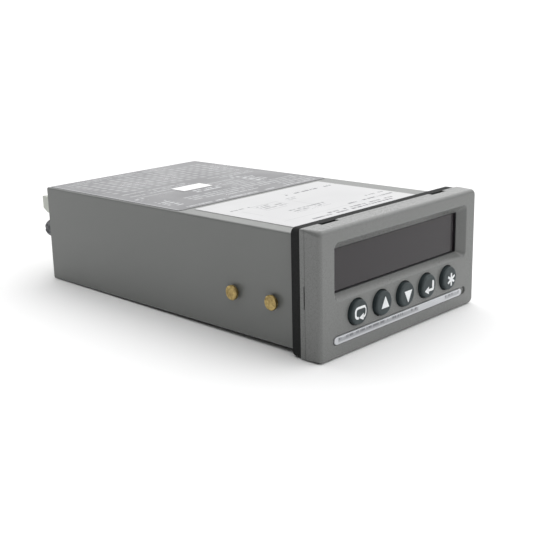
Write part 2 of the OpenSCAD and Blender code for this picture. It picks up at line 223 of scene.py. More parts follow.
def creased(mesh: bpy.types.Mesh, least: float = 15.0) -> set[tuple[int, int]]:
    """The edges of a mesh whose two faces turn by more than an angle.

    Args:
        mesh: the mesh.
        least: the angle in degrees.

    Returns:
        Their vertex pairs.
    """
    sides: dict[tuple[int, int], list[Vector]] = {}
    for face in mesh.polygons:
        for key in face.edge_keys:
            sides.setdefault(key, []).append(face.normal)
    limit = math.radians(least)
    return {key for key, normals in sides.items()
            if len(normals) != 2 or normals[0].angle(normals[1], 0.0) > limit}


def choose(piece: Piece, what: Pick, test: Callable[..., bool]) -> int:
    """Select the parts of a piece's mesh that pass a test, and nothing else.

    Args:
        piece: the piece.
        what: vertices, creased edges or faces.
        test: for a vertex it takes its place, for an edge its two ends, for a face its centre and normal.

    Returns:
        How many were chosen.
    """
    mesh = take(piece).data
    for group in (mesh.vertices, mesh.edges, mesh.polygons):
        group.foreach_set("select", [False] * len(group))
    if what is Pick.VERT:
        found = [v for v in mesh.vertices if test(v.co)]
    elif what is Pick.EDGE:
        sharp = creased(mesh)
        spots = [v.co for v in mesh.vertices]
        found = [e for e in mesh.edges
                 if e.key in sharp and test(spots[e.vertices[0]], spots[e.vertices[1]])]
    else:
        found = [f for f in mesh.polygons if test(f.center, f.normal)]
    for item in found:
        item.select = True
    return len(found)


@contextmanager
def editing(piece: Piece, what: Pick = Pick.FACE) -> Iterator[None]:
    """Edit a piece's mesh with what choose() left selected.

    Args:
        piece: the piece.
        what: the select mode.

    Yields:
        Nothing; the mesh is in edit mode inside the block.
    """
    take(piece)
    bpy.context.tool_settings.mesh_select_mode = [what is kind for kind in Pick]
    bpy.ops.object.mode_set(mode="EDIT")
    yield
    bpy.ops.object.mode_set(mode="OBJECT")


def round_edges(piece: Piece, test: EdgeTest, radius: float, segments: int) -> Piece:
    """Bevel the creased edges that pass a test into a round.

    Args:
        piece: the piece.
        test: takes an edge's two ends.
        radius: the radius of the round.
        segments: how many flats it has.

    Returns:
        The piece.
    """
    if not choose(piece, Pick.EDGE, test):
        log.warning("%s has no edge to round there", piece.name)
    with editing(piece, Pick.EDGE):
        bpy.ops.mesh.bevel(offset=radius * MM, segments=segments, affect="EDGES", clamp_overlap=False)
    return piece


def modify(piece: Piece, kind: str, **settings: Any) -> Piece:
    """Add a modifier, set it and apply it.

    Args:
        piece: the piece.
        kind: the modifier's type.
        settings: its settings.

    Returns:
        The piece.
    """
    take(piece)
    bpy.ops.object.modifier_add(type=kind)
    modifier = piece.modifiers[-1]
    for name, value in settings.items():
        setattr(modifier, name, value)
    bpy.ops.object.modifier_apply(modifier=modifier.name)
    return piece


def carve(piece: Piece, *tools: Piece, how: str = "DIFFERENCE") -> Piece:
    """Cut tools out of a piece, or join them to it, and throw the tools away.

    Args:
        piece: the piece.
        tools: closed solids.
        how: the boolean operation.

    Returns:
        The piece.
    """
    for tool in tools:
        modify(piece, "BOOLEAN", object=tool, operation=how, solver="EXACT")
        bpy.data.objects.remove(tool)
    return piece


def ease(piece: Piece, width: float, segments: int = 2, angle: float = 30.0) -> Piece:
    """Break every sharp edge with a small bevel.

    Args:
        piece: the piece.
        width: the width of the bevel.
        segments: how many flats it has.
        angle: edges that turn by more than this many degrees are sharp.

    Returns:
        The piece.
    """
    return modify(piece, "BEVEL", width=width * MM, segments=segments, limit_method="ANGLE",
                  angle_limit=math.radians(angle), use_clamp_overlap=True)


def smooth(piece: Piece, angle: float = 40.0) -> Piece:
    """Merge doubles, point faces outwards, shade the rounds smooth and keep the flats flat.

    Args:
        piece: the piece.
        angle: edges that turn by more than this many degrees stay sharp.

    Returns:
        The piece.
    """
    with editing(piece):
        bpy.ops.mesh.select_all(action="SELECT")
        bpy.ops.mesh.remove_doubles(threshold=MERGE)
        bpy.ops.mesh.normals_make_consistent(inside=False)
    take(piece)
    bpy.ops.object.shade_smooth_by_angle(angle=math.radians(angle))
    return modify(piece, "WEIGHTED_NORMAL", keep_sharp=True, weight=80)


def plate(name: str, low: Sequence[float], high: Sequence[float], thin: int, corner: float, soft: float,
          segments: int = 6) -> Piece:
    """Make a plate with round corners and eased rims.

    Args:
        name: the piece's name.
        low: the lowest corner of its box.
        high: the highest corner of its box.
        thin: the axis of its thickness.
        corner: the radius of its four corners.
        soft: the width of its eased rims, or 0 for none.
        segments: how many flats a corner has.

    Returns:
        The new piece.
    """
    piece = box(name, low, high)
    round_edges(piece, runs_along(thin), corner, segments)
    if soft:
        ease(piece, soft, 2, 60.0)
    return piece


def turned(name: str, start: Sequence[float], axis: Axis, rings: Sequence[Pair], sides: int = 64) -> Piece:
    """Turn a round piece by extruding a disc from ring to ring.

    Args:
        name: the piece's name.
        start: the point on the axis that ring positions count from.
        axis: the way that ring positions grow.
        rings: position along the axis and radius of each ring.
        sides: how many sides it has.

    Returns:
        The new piece.
    """
    bpy.ops.object.select_all(action="DESELECT")
    turn = Vector((0, 0, 1)).rotation_difference(axis.value).to_euler()
    spot = [(Vector(start) + axis.value * at) * MM for at, _ in rings]
    bpy.ops.mesh.primitive_circle_add(vertices=sides, radius=rings[0][1] * MM, fill_type="NGON",
                                      location=spot[0], rotation=turn)
    piece = settle(name)
    choose(piece, Pick.FACE, lambda centre, normal: True)
    with editing(piece):
        for (_, last), (_, radius), here, there in zip(rings, rings[1:], spot, spot[1:]):
            bpy.ops.mesh.extrude_region_move(TRANSFORM_OT_translate={"value": there - here})
            scale = [1.0 if abs(v) > 0.5 else radius / last for v in axis.value]
            bpy.ops.transform.resize(value=scale, center_override=there)
    return piece


def arc(at: float, radius: float, bend: float, first: float, last: float, count: int) -> list[Pair]:
    """Rings of a rounded rim.

    Args:
        at: position of the round's centre along the axis.
        radius: distance of the round's centre from the axis.
        bend: the round's radius.
        first: the first angle in degrees, where 0 points away from the axis.
        last: the last angle.
        count: how many rings.

    Returns:
        The rings.
    """
    angles = [math.radians(first + (last - first) * i / (count - 1)) for i in range(count)]
    return [(at + bend * math.sin(a), radius + bend * math.cos(a)) for a in angles]


def join(name: str, pieces: Sequence[Piece]) -> Piece:
    """Make one piece of several.

    Args:
        name: the new piece's name.
        pieces: the pieces, of which the first keeps its object.

    Returns:
        The joined piece.
    """
    take(*pieces)
    bpy.ops.object.join()
    return settle(name)


def copy_of(piece: Piece, name: str, shift: Sequence[float] = (0, 0, 0), turn: float = 0.0) -> Piece:
    """Copy a piece with its own mesh, turn the copy about Z through the origin and move it.

    Args:
        piece: the piece to copy.
        name: the copy's name.
        shift: how far to move it.
        turn: degrees to turn it.

    Returns:
        The copy, with its object at the origin.
    """
    take(piece)
    bpy.ops.object.duplicate(linked=False)
    bpy.context.object.rotation_euler = (0, 0, math.radians(turn))
    bpy.context.object.location = [v * MM for v in shift]
    return settle(name)


def refined(node: str, name: str, width: float, segments: int = 2) -> Piece:
    """Make a piece from a CAD node's shape with its sharp edges eased.

    Args:
        node: the CAD node.
        name: the new piece's name.
        width: the width of the eased edges.
        segments: how many flats each has.

    Returns:
        The new piece, which stands for the node.
    """
    mesh = FRAME["nodes"][node].data.copy()
    mesh.materials.clear()
    piece = bpy.data.objects.new(name, mesh)
    bpy.context.scene.collection.objects.link(piece)
    take(piece)
    bpy.ops.mesh.customdata_custom_splitnormals_clear()
    with editing(piece):
        bpy.ops.mesh.select_all(action="SELECT")
        bpy.ops.mesh.remove_doubles(threshold=MERGE)
        bpy.ops.mesh.dissolve_limited(angle_limit=math.radians(FLAT))
    ease(piece, width, segments)
    smooth(piece)
    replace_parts(piece, node)
    return piece


# ------------------------------------------------------------------ material kit

# Where a Mix node that mixes colours keeps its amount, its two colours and its result.
MIX_AMOUNT, MIX_LOW, MIX_HIGH, MIX_RESULT = 0, 6, 7, 2
# A Wave texture has one band in this many units over a full turn.
WAVE_UNITS = 20
BUMP_STRENGTH = 0.5
# Settings that many nodes share.
COLOURS = {"data_type": "RGBA"}
MULTIPLY = {"operation": "MULTIPLY"}
LARGER = {"operation": "MAXIMUM"}
LESS_THAN = {"operation": "LESS_THAN"}
MORE_THAN = {"operation": "GREATER_THAN"}


def paint(hex_code: str) -> Colour:
    """Turn an sRGB hex colour into a linear one.

    Args:
        hex_code: six hex digits.

    Returns:
        The linear colour with alpha 1.
    """
    parts = [int(hex_code[i:i + 2], 16) / 255 for i in (0, 2, 4)]
    linear = [p / 12.92 if p <= 0.04045 else ((p + 0.055) / 1.055) ** 2.4 for p in parts]
    return (linear[0], linear[1], linear[2], 1.0)


def per(size: float) -> float:
    """The texture scale that gives features of this size."""
    return 1 / (size * MM)


def add_node(tree: Tree, kind: str, settings: dict[str, str] | None = None,
             inputs: dict[str | int, Any] | None = None) -> Node:
    """Add a node with its settings and links.

    Args:
        tree: the node tree.
        kind: the node's type without its ShaderNode prefix.
        settings: attributes of the node.
        inputs: for each input, a value, or the output socket to link to it.

    Returns:
        The node.
    """
    node = tree.nodes.new("ShaderNode" + kind)
    for name, value in (settings or {}).items():
        setattr(node, name, value)
    for name, value in (inputs or {}).items():
        if isinstance(value, Socket):
            tree.links.new(value, node.inputs[name])
        else:
            node.inputs[name].default_value = value
    return node


class Finish(ABC):
    """A real finish that makes one material."""

    name: str

    def material(self) -> bpy.types.Material:
        """The finish's material, made the first time that it is asked for.

        Returns:
            The material.
        """
        found = bpy.data.materials.get(self.name)
        if found:
            return found
        material = bpy.data.materials.new(self.name)
        material.use_nodes = True
        tree = material.node_tree
        tree.nodes.clear()
        output = add_node(tree, "OutputMaterial")
        shader = add_node(tree, "BsdfPrincipled")
        tree.links.new(shader.outputs["BSDF"], output.inputs["Surface"])
        where = add_node(tree, "TexCoord").outputs["Object"]
        self.dress(tree, shader, where)
        return material

    @abstractmethod
    def dress(self, tree: Tree, shader: Node, where: Socket) -> None:
        """Set the shader and link its patterns.

        Args:
            tree: the material's node tree.
            shader: its surface shader.
            where: object coordinates, in metres.
        """


@dataclass(frozen=True)
class MouldedPlastic(Finish):
    """Thermoplastic from a spark-eroded mould: an even, fine satin grain with a faint flow mottle."""

    name: str
    colour: str
    mottle: str
    roughness: float = 0.5
    # The real grain is about 0.1 mm across, and it is drawn coarser so that it shows.
    grain: float = 0.35
    depth: float = 0.012
    flow: float = 38.0

    def dress(self, tree: Tree, shader: Node, where: Socket) -> None:
        """Link the mottle, the uneven sheen and the mould grain.

        Args:
            tree: the material's node tree.
            shader: its surface shader.
            where: object coordinates, in metres.
        """
        flow = add_node(tree, "TexNoise", inputs={"Vector": where, "Scale": per(self.flow), "Detail": 3.0})
        tint = add_node(tree, "Mix", COLOURS, {
            MIX_AMOUNT: flow.outputs["Fac"], MIX_LOW: paint(self.colour), MIX_HIGH: paint(self.mottle)})
        tree.links.new(tint.outputs[MIX_RESULT], shader.inputs["Base Color"])
        grain = add_node(tree, "TexNoise", inputs={"Vector": where, "Scale": per(self.grain), "Detail": 2.0})
        sheen = add_node(tree, "MapRange", inputs={
            "Value": grain.outputs["Fac"], "From Min": 0.3, "From Max": 0.7,
            "To Min": self.roughness - 0.04, "To Max": self.roughness + 0.05})
        tree.links.new(sheen.outputs["Result"], shader.inputs["Roughness"])
        bump = add_node(tree, "Bump", inputs={
            "Height": grain.outputs["Fac"], "Strength": BUMP_STRENGTH, "Distance": self.depth * MM})
        tree.links.new(bump.outputs["Normal"], shader.inputs["Normal"])


@dataclass(frozen=True)
class FoamRubber(Finish):
    """Closed-cell foam rubber, die-cut: dull black with fine open pores on its cut edge."""

    name: str = "closed_cell_foam"
    colour: str = "202121"
    pore_colour: str = "0e0f0f"
    pore: float = 0.45
    depth: float = 0.05

    def dress(self, tree: Tree, shader: Node, where: Socket) -> None:
        """Link the pores to the colour and the bump.

        Args:
            tree: the material's node tree.
            shader: its surface shader.
            where: object coordinates, in metres.
        """
        cells = add_node(tree, "TexVoronoi", inputs={"Vector": where, "Scale": per(self.pore)})
        height = add_node(tree, "MapRange", inputs={
            "Value": cells.outputs["Distance"], "From Min": 0.1, "From Max": 0.5}).outputs["Result"]
        tint = add_node(tree, "Mix", COLOURS, {
            MIX_AMOUNT: height, MIX_LOW: paint(self.pore_colour), MIX_HIGH: paint(self.colour)})
        tree.links.new(tint.outputs[MIX_RESULT], shader.inputs["Base Color"])
        bump = add_node(tree, "Bump", inputs={
            "Height": height, "Strength": BUMP_STRENGTH, "Distance": self.depth * MM})
        tree.links.new(bump.outputs["Normal"], shader.inputs["Normal"])
        shader.inputs["Roughness"].default_value = 0.85
        shader.inputs["Specular IOR Level"].default_value = 0.3


@dataclass(frozen=True)
class SiliconeRubber(Finish):
    """Compression-moulded silicone: dull and slightly soft, with a fine blasted skin and a little dust."""

    name: str = "moulded_silicone"
    colour: str = "273234"
    dust: str = "374244"
    # The real blasted skin is about 0.05 mm, and it is drawn coarser so that it shows.
    skin: float = 0.22
    depth: float = 0.01
    motes: float = 2.2

    def dress(self, tree: Tree, shader: Node, where: Socket) -> None:
        """Link the dust to the colour and the blasted skin to the bump.

        Args:
            tree: the material's node tree.
            shader: its surface shader.
            where: object coordinates, in metres.
        """
        motes = add_node(tree, "TexNoise", inputs={"Vector": where, "Scale": per(self.motes), "Detail": 6.0})
        amount = add_node(tree, "MapRange", inputs={
            "Value": motes.outputs["Fac"], "From Min": 0.45, "From Max": 0.8})
        tint = add_node(tree, "Mix", COLOURS, {
            MIX_AMOUNT: amount.outputs["Result"], MIX_LOW: paint(self.colour), MIX_HIGH: paint(self.dust)})
        tree.links.new(tint.outputs[MIX_RESULT], shader.inputs["Base Color"])
        skin = add_node(tree, "TexNoise", inputs={"Vector": where, "Scale": per(self.skin)})
        bump = add_node(tree, "Bump", inputs={
            "Height": skin.outputs["Fac"], "Strength": BUMP_STRENGTH, "Distance": self.depth * MM})
        tree.links.new(bump.outputs["Normal"], shader.inputs["Normal"])
        shader.inputs["Roughness"].default_value = 0.55


@dataclass(frozen=True)
class SmokedAcrylic(Finish):
    """Cast acrylic filter with a dark red-grey dye: a mirror-smooth face over a nearly black depth."""

    name: str = "smoked_acrylic"
    colour: str = "221c20"
    wipe: float = 14.0
    opacity: float = 0.9
    refraction: float = 1.49

    def dress(self, tree: Tree, shader: Node, where: Socket) -> None:
        """Link faint wiping marks to the roughness and leave it a little see-through.

        Args:
            tree: the material's node tree.
            shader: its surface shader.
            where: object coordinates, in metres.
        """
        wipes = add_node(tree, "TexNoise", inputs={"Vector": where, "Scale": per(self.wipe), "Detail": 5.0})
        gloss = add_node(tree, "MapRange", inputs={
            "Value": wipes.outputs["Fac"], "From Min": 0.35, "From Max": 0.7,
            "To Min": 0.10, "To Max": 0.16})
        tree.links.new(gloss.outputs["Result"], shader.inputs["Roughness"])
        shader.inputs["Base Color"].default_value = paint(self.colour)
        shader.inputs["IOR"].default_value = self.refraction
        shader.inputs["Alpha"].default_value = self.opacity


@dataclass(frozen=True)
class BrushedMetal(Finish):
    """Metal with fine straight brush lines along one axis, which stretch its highlight across them."""

    name: str
    colour: str
    roughness: float = 0.35
    # Real brush lines are about 0.03 mm apart, and they are drawn coarser so that they show.
    line: float = 0.12
    depth: float = 0.008
    stretch: Triple = (0.03, 1.0, 1.0)

    def dress(self, tree: Tree, shader: Node, where: Socket) -> None:
        """Link the brush lines to the roughness and the bump.

        Args:
            tree: the material's node tree.
            shader: its surface shader.
            where: object coordinates, in metres.
        """
        stretched = add_node(tree, "Mapping", inputs={"Vector": where, "Scale": self.stretch})
        lines = add_node(tree, "TexNoise", inputs={
            "Vector": stretched.outputs["Vector"], "Scale": per(self.line), "Detail": 3.0})
        gloss = add_node(tree, "MapRange", inputs={
            "Value": lines.outputs["Fac"], "From Min": 0.3, "From Max": 0.7,
            "To Min": self.roughness - 0.08, "To Max": self.roughness + 0.1})
        tree.links.new(gloss.outputs["Result"], shader.inputs["Roughness"])
        bump = add_node(tree, "Bump", inputs={
            "Height": lines.outputs["Fac"], "Strength": BUMP_STRENGTH, "Distance": self.depth * MM})
        tree.links.new(bump.outputs["Normal"], shader.inputs["Normal"])
        shader.inputs["Base Color"].default_value = paint(self.colour)
        shader.inputs["Metallic"].default_value = 1.0


@dataclass(frozen=True)
class AgedMetal(Finish):
    """Bar metal from the lathe that has stood in the air: a soft shine under uneven, darker tarnish."""

    name: str
    colour: str
    tarnish: str
    patch: float = 1.3
    roughness: float = 0.34
    depth: float = 0.02

    def dress(self, tree: Tree, shader: Node, where: Socket) -> None:
        """Link the tarnish to the colour, the roughness and the bump.

        Args:
            tree: the material's node tree.
            shader: its surface shader.
            where: object coordinates, in metres.
        """
        dull = add_node(tree, "TexNoise", inputs={"Vector": where, "Scale": per(self.patch), "Detail": 5.0})
        amount = add_node(tree, "MapRange", inputs={
            "Value": dull.outputs["Fac"], "From Min": 0.35, "From Max": 0.68})
        tint = add_node(tree, "Mix", COLOURS, {
            MIX_AMOUNT: amount.outputs["Result"], MIX_LOW: paint(self.colour),
            MIX_HIGH: paint(self.tarnish)})
        tree.links.new(tint.outputs[MIX_RESULT], shader.inputs["Base Color"])
        gloss = add_node(tree, "MapRange", inputs={
            "Value": dull.outputs["Fac"], "From Min": 0.35, "From Max": 0.68,
            "To Min": self.roughness - 0.06, "To Max": self.roughness + 0.16})
        tree.links.new(gloss.outputs["Result"], shader.inputs["Roughness"])
        bump = add_node(tree, "Bump", inputs={
            "Height": dull.outputs["Fac"], "Strength": BUMP_STRENGTH, "Distance": self.depth * MM})
        tree.links.new(bump.outputs["Normal"], shader.inputs["Normal"])
        shader.inputs["Metallic"].default_value = 1.0


@dataclass(frozen=True)
class PrintInk(Finish):
    """Silk-screen ink on rubber: an opaque matt white with slightly thin patches."""

    name: str = "screen_print_white"
    colour: str = "f4f5f6"
    thin: str = "dfe2e4"
    patch: float = 0.9

    def dress(self, tree: Tree, shader: Node, where: Socket) -> None:
        """Link the thin patches to the colour.

        Args:
            tree: the material's node tree.
            shader: its surface shader.
            where: object coordinates, in metres.
        """
        patches = add_node(tree, "TexNoise", inputs={
            "Vector": where, "Scale": per(self.patch), "Detail": 4.0})
        tint = add_node(tree, "Mix", COLOURS, {
            MIX_AMOUNT: patches.outputs["Fac"], MIX_LOW: paint(self.colour), MIX_HIGH: paint(self.thin)})
        tree.links.new(tint.outputs[MIX_RESULT], shader.inputs["Base Color"])
        shader.inputs["Roughness"].default_value = 0.55


@dataclass(frozen=True)
class SolderResist(Finish):
    """Green resist over etched copper: a glossy skin that stands up in lines where the tracks run."""

    name: str = "solder_resist"
    colour: str = "1c4f33"
    track: str = "2c6b45"
    pitch: float = 2.54
    depth: float = 0.035
    turn: Triple = (0.0, 0.0, 0.0)

    def dress(self, tree: Tree, shader: Node, where: Socket) -> None:
        """Link a net of tracks to the colour and the bump.

        Args:
            tree: the material's node tree.
            shader: its surface shader.
            where: object coordinates, in metres.
        """
        laid = add_node(tree, "Mapping", inputs={"Vector": where, "Rotation": self.turn})
        net = add_node(tree, "TexBrick", inputs={
            "Vector": laid.outputs["Vector"], "Scale": per(self.pitch),
            "Color1": paint(self.colour), "Color2": paint(self.colour), "Mortar": paint(self.track),
            "Mortar Size": 0.08, "Brick Width": 4.0, "Row Height": 1.0})
        tree.links.new(net.outputs["Color"], shader.inputs["Base Color"])
        bump = add_node(tree, "Bump", inputs={
            "Height": net.outputs["Fac"], "Strength": BUMP_STRENGTH, "Distance": self.depth * MM})
        tree.links.new(bump.outputs["Normal"], shader.inputs["Normal"])
        shader.inputs["Roughness"].default_value = 0.28


@dataclass(frozen=True)
class Layered(Finish):
    """Stock built up of equal layers or cores side by side: straight ridges at one pitch."""

    name: str
    colour: str
    groove: str
    pitch: float
    across: str = "X"
    metallic: float = 0.0
    roughness: float = 0.45
    depth: float = 0.12

    def dress(self, tree: Tree, shader: Node, where: Socket) -> None:
        """Link the ridges to the colour and the bump.

        Args:
            tree: the material's node tree.
            shader: its surface shader.
            where: object coordinates, in metres.
        """
        ridges = add_node(tree, "TexWave", {"bands_direction": self.across}, {
            "Vector": where, "Scale": per(self.pitch) * math.tau / WAVE_UNITS})
        height = add_node(tree, "MapRange", inputs={
            "Value": ridges.outputs["Fac"], "From Min": 0.1, "From Max": 0.6}).outputs["Result"]
        tint = add_node(tree, "Mix", COLOURS, {
            MIX_AMOUNT: height, MIX_LOW: paint(self.groove), MIX_HIGH: paint(self.colour)})
        tree.links.new(tint.outputs[MIX_RESULT], shader.inputs["Base Color"])
        bump = add_node(tree, "Bump", inputs={
            "Height": height, "Strength": BUMP_STRENGTH, "Distance": self.depth * MM})
        tree.links.new(bump.outputs["Normal"], shader.inputs["Normal"])
        shader.inputs["Metallic"].default_value = self.metallic
        shader.inputs["Roughness"].default_value = self.roughness


class Print(Enum):
    """A kind of generic print, none of which can be read."""

    RULE = "solid area"
    WORDS = "rows of broken strokes"
    DOTS = "grid of round dots"


@dataclass(frozen=True)
class Mark:
    """One printed area, from low to high on the label's two axes."""

    kind: Print
    low: Pair
    high: Pair
    weight: float = 1.0


@dataclass(frozen=True)
class PrintedFilm(Finish):
    """Polyester label film with generic print: satin, dead flat, with ink that can't be read."""

    name: str
    film: str
    shade: str
    ink: str
    marks: tuple[Mark, ...]
    upright: bool = False
    # Small print is rows of strokes. This is how far apart the rows are, how much of a row is ink, how long
    # words and strokes are, and where a noise leaves gaps between them.
    row: float = 2.9
    line: float = 0.48
    word: float = 4.5
    stroke: float = 1.0
    word_gap: float = 0.4
    stroke_gap: float = 0.42
    row_seed: float = 7.31
    dot_pitch: float = 4.6
    dot_drift: float = 0.25
    dot_rim: Pair = (0.12, 0.42)
    mottle: float = 22.0
    roughness: float = 0.4
    metallic: float = 0.0

    def dress(self, tree: Tree, shader: Node, where: Socket) -> None:
        """Link the film's mottle and every mark to the colour, and keep the satin sheen uneven.

        Args:
            tree: the material's node tree.
            shader: its surface shader.
            where: object coordinates, in metres.
        """
        axes = add_node(tree, "SeparateXYZ", inputs={"Vector": where})
        across, along = axes.outputs["X"], axes.outputs["Z" if self.upright else "Y"]
        flat = add_node(tree, "CombineXYZ", inputs={"X": across, "Y": along}).outputs["Vector"]
        patterns = {Print.WORDS: self.words(tree, across, along), Print.DOTS: self.dots(tree, flat)}
        total: Any = 0.0
        for mark in self.marks:
            inked = self.area(tree, flat, mark)
            if mark.kind is not Print.RULE:
                inked = add_node(tree, "Math", MULTIPLY, {0: inked, 1: patterns[mark.kind]}).outputs[0]
            inked = add_node(tree, "Math", MULTIPLY, {0: inked, 1: mark.weight}).outputs[0]
            total = add_node(tree, "Math", LARGER, {0: inked, 1: total}).outputs[0]
        mottle = add_node(tree, "TexNoise", inputs={
            "Vector": where, "Scale": per(self.mottle), "Detail": 2.0})
        base = add_node(tree, "Mix", COLOURS, {
            MIX_AMOUNT: mottle.outputs["Fac"], MIX_LOW: paint(self.film), MIX_HIGH: paint(self.shade)})
        printed = add_node(tree, "Mix", COLOURS, {
            MIX_AMOUNT: total, MIX_LOW: base.outputs[MIX_RESULT], MIX_HIGH: paint(self.ink)})
        tree.links.new(printed.outputs[MIX_RESULT], shader.inputs["Base Color"])
        sheen = add_node(tree, "MapRange", inputs={
            "Value": mottle.outputs["Fac"], "From Min": 0.3, "From Max": 0.7,
            "To Min": self.roughness - 0.04, "To Max": self.roughness + 0.04})
        tree.links.new(sheen.outputs["Result"], shader.inputs["Roughness"])
        shader.inputs["Metallic"].default_value = self.metallic

    def area(self, tree: Tree, flat: Socket, mark: Mark) -> Socket:
        """A mask that is 1 inside a mark's box.

        Args:
            tree: the node tree.
            flat: the label's own coordinates.
            mark: the mark.

        Returns:
            The mask.
        """
        middle = [(a + b) / 2 * MM for a, b in zip(mark.low, mark.high)]
        half = [(b - a) / 2 * MM for a, b in zip(mark.low, mark.high)]
        away = add_node(tree, "VectorMath", {"operation": "SUBTRACT"}, {0: flat, 1: (*middle, 0.0)})
        size = add_node(tree, "VectorMath", {"operation": "ABSOLUTE"}, {0: away.outputs[0]})
        parts = add_node(tree, "SeparateXYZ", inputs={"Vector": size.outputs[0]})
        wide = add_node(tree, "Math", LESS_THAN, {0: parts.outputs["X"], 1: half[0]}).outputs[0]
        tall = add_node(tree, "Math", LESS_THAN, {0: parts.outputs["Y"], 1: half[1]}).outputs[0]
        return add_node(tree, "Math", MULTIPLY, {0: wide, 1: tall}).outputs[0]

    def words(self, tree: Tree, across: Socket, along: Socket) -> Socket:
        """Rows of broken strokes that look like small print and say nothing.

        Args:
            tree: the node tree.
            across: the coordinate along a row.
            along: the coordinate from row to row.

        Returns:
            The mask.
        """
        rows = add_node(tree, "Math", {"operation": "DIVIDE"}, {0: along, 1: self.row * MM}).outputs[0]
        number = add_node(tree, "Math", {"operation": "FLOOR"}, {0: rows}).outputs[0]
        within = add_node(tree, "Math", {"operation": "FRACT"}, {0: rows}).outputs[0]
        line = add_node(tree, "Math", LESS_THAN, {0: within, 1: self.line}).outputs[0]
        seed = add_node(tree, "Math", MULTIPLY, {0: number, 1: self.row_seed}).outputs[0]
        spot = add_node(tree, "CombineXYZ", inputs={"X": across, "Y": seed}).outputs["Vector"]
        breaks = []
        for size, gap in ((self.word, self.word_gap), (self.stroke, self.stroke_gap)):
            noise = add_node(tree, "TexNoise", {"noise_dimensions": "2D"}, {
                "Vector": spot, "Scale": per(size), "Detail": 1.0})
            breaks.append(add_node(tree, "Math", MORE_THAN, {0: noise.outputs["Fac"], 1: gap}).outputs[0])
        strokes = add_node(tree, "Math", MULTIPLY, dict(enumerate(breaks))).outputs[0]
        return add_node(tree, "Math", MULTIPLY, {0: line, 1: strokes}).outputs[0]

    def dots(self, tree: Tree, flat: Socket) -> Socket:
        """A grid of round dots, like the rings around terminal numbers.

        Args:
            tree: the node tree.
            flat: the label's own coordinates.

        Returns:
            The mask.
        """
        grid = add_node(tree, "TexVoronoi", {"voronoi_dimensions": "2D"}, {
            "Vector": flat, "Scale": per(self.dot_pitch), "Randomness": self.dot_drift})
        core, edge = self.dot_rim
        return add_node(tree, "MapRange", inputs={
            "Value": grid.outputs["Distance"], "From Min": core, "From Max": edge,
            "To Min": 1.0, "To Max": 0.0}).outputs["Result"]


@dataclass(frozen=True)
class StudioBoard(Finish):
    """Matt white studio board: plain and pale, with the faintest unevenness."""

    name: str = "studio_board"
    colour: str = "fbfbfb"
    shade: str = "f8f8f8"
    cloud: float = 400.0

    def dress(self, tree: Tree, shader: Node, where: Socket) -> None:
        """Link the unevenness to the colour.

        Args:
            tree: the material's node tree.
            shader: its surface shader.
            where: object coordinates, in metres.
        """
        cloud = add_node(tree, "TexNoise", inputs={"Vector": where, "Scale": per(self.cloud)})
        tint = add_node(tree, "Mix", COLOURS, {
            MIX_AMOUNT: cloud.outputs["Fac"], MIX_LOW: paint(self.colour), MIX_HIGH: paint(self.shade)})
        tree.links.new(tint.outputs[MIX_RESULT], shader.inputs["Base Color"])
        shader.inputs["Roughness"].default_value = 0.9
        shader.inputs["Specular IOR Level"].default_value = 0.1


# ------------------------------------------------------------------ the finishes of this object

# A satin grey moulding: even from afar, with a fine grain in its highlights.
CASE_PLASTIC = MouldedPlastic("case_grey_abs", "737573", "6f716f", roughness=0.36)
# The same grey with a slightly finer skin, because the bezel's mould is polished further.
BEZEL_PLASTIC = MouldedPlastic("bezel_grey_abs", "747574", "707270", roughness=0.28, grain=0.28, depth=0.009)
# A duller, darker grey for the panel that only the wiring side shows.
REAR_PLASTIC = MouldedPlastic("rear_panel_abs", "565857", "525453", roughness=0.6)
# Nearly black, so that the opening frames the window.
MASK_PLASTIC = MouldedPlastic("mask_black_abs", "16171a", "131417", roughness=0.5)
# Pale grey-green, slightly waxy, as unfilled polyamide is.
TERMINAL_PLASTIC = MouldedPlastic("terminal_polyamide", "cacdc5", "c2c5bc", roughness=0.42, grain=0.5)
# Dull black with a coarse speckle from its filler.
COMPONENT_EPOXY = MouldedPlastic("component_epoxy", "1c1c1e", "242426", roughness=0.6, flow=3.0)
# A glossy dark blue box.
RELAY_PLASTIC = MouldedPlastic("relay_cover", "26324f", "222d48", roughness=0.3)
# A matt black face that keeps stray light off the segments.
DIGIT_PLASTIC = MouldedPlastic("digit_face", "1d1c20", "19181c", roughness=0.5)
# Milky light guides, unlit: a pale pinkish grey.
SEGMENT_RESIN = MouldedPlastic("segment_resin", "7d6a6c", "756264", roughness=0.45, flow=4.0)
# Glossy shrink film over a can.
SLEEVE = MouldedPlastic("shrink_sleeve", "1d2438", "1a2033", roughness=0.3)
# Clear glass reads as a pale, very smooth tube.
GLASS_TUBE = MouldedPlastic("fuse_tube", "cfd4d8", "c4c9cd", roughness=0.1, depth=0.001)
# Bright plated screws with a slightly drawn highlight.
SCREW_STEEL = BrushedMetal("plated_steel", "b9babc", roughness=0.3)
# Zinc-plated steel gone dull: a mid grey, darker where the plating has worn.
DARK_STEEL = AgedMetal("dull_plated_steel", "8e8f91", "626366", patch=1.8, roughness=0.42)
# Turned brass that has browned a little.
STUD_BRASS = AgedMetal("aged_brass", "b7a16a", "8a764e", patch=1.2)
# Black anodised sheet with rolling lines.
FIN_ALUMINIUM = BrushedMetal("anodised_fins", "2c2d30", roughness=0.45)
# Varnished laminations, 0.5 mm each, seen edge on.
CORE_STEEL = Layered("core_laminations", "5f5b57", "3d3a37", pitch=0.5, across="Y", metallic=0.7)
# Yellow tape wound in overlapping turns.
COIL_TAPE = Layered("coil_tape", "caa441", "b08a2c", pitch=3.2, across="Y", roughness=0.3)
# Flat cable: vinyl cores at 1.27 mm side by side.
RIBBON_VINYL = Layered("ribbon_vinyl", "a6a8ac", "84868a", pitch=1.27)
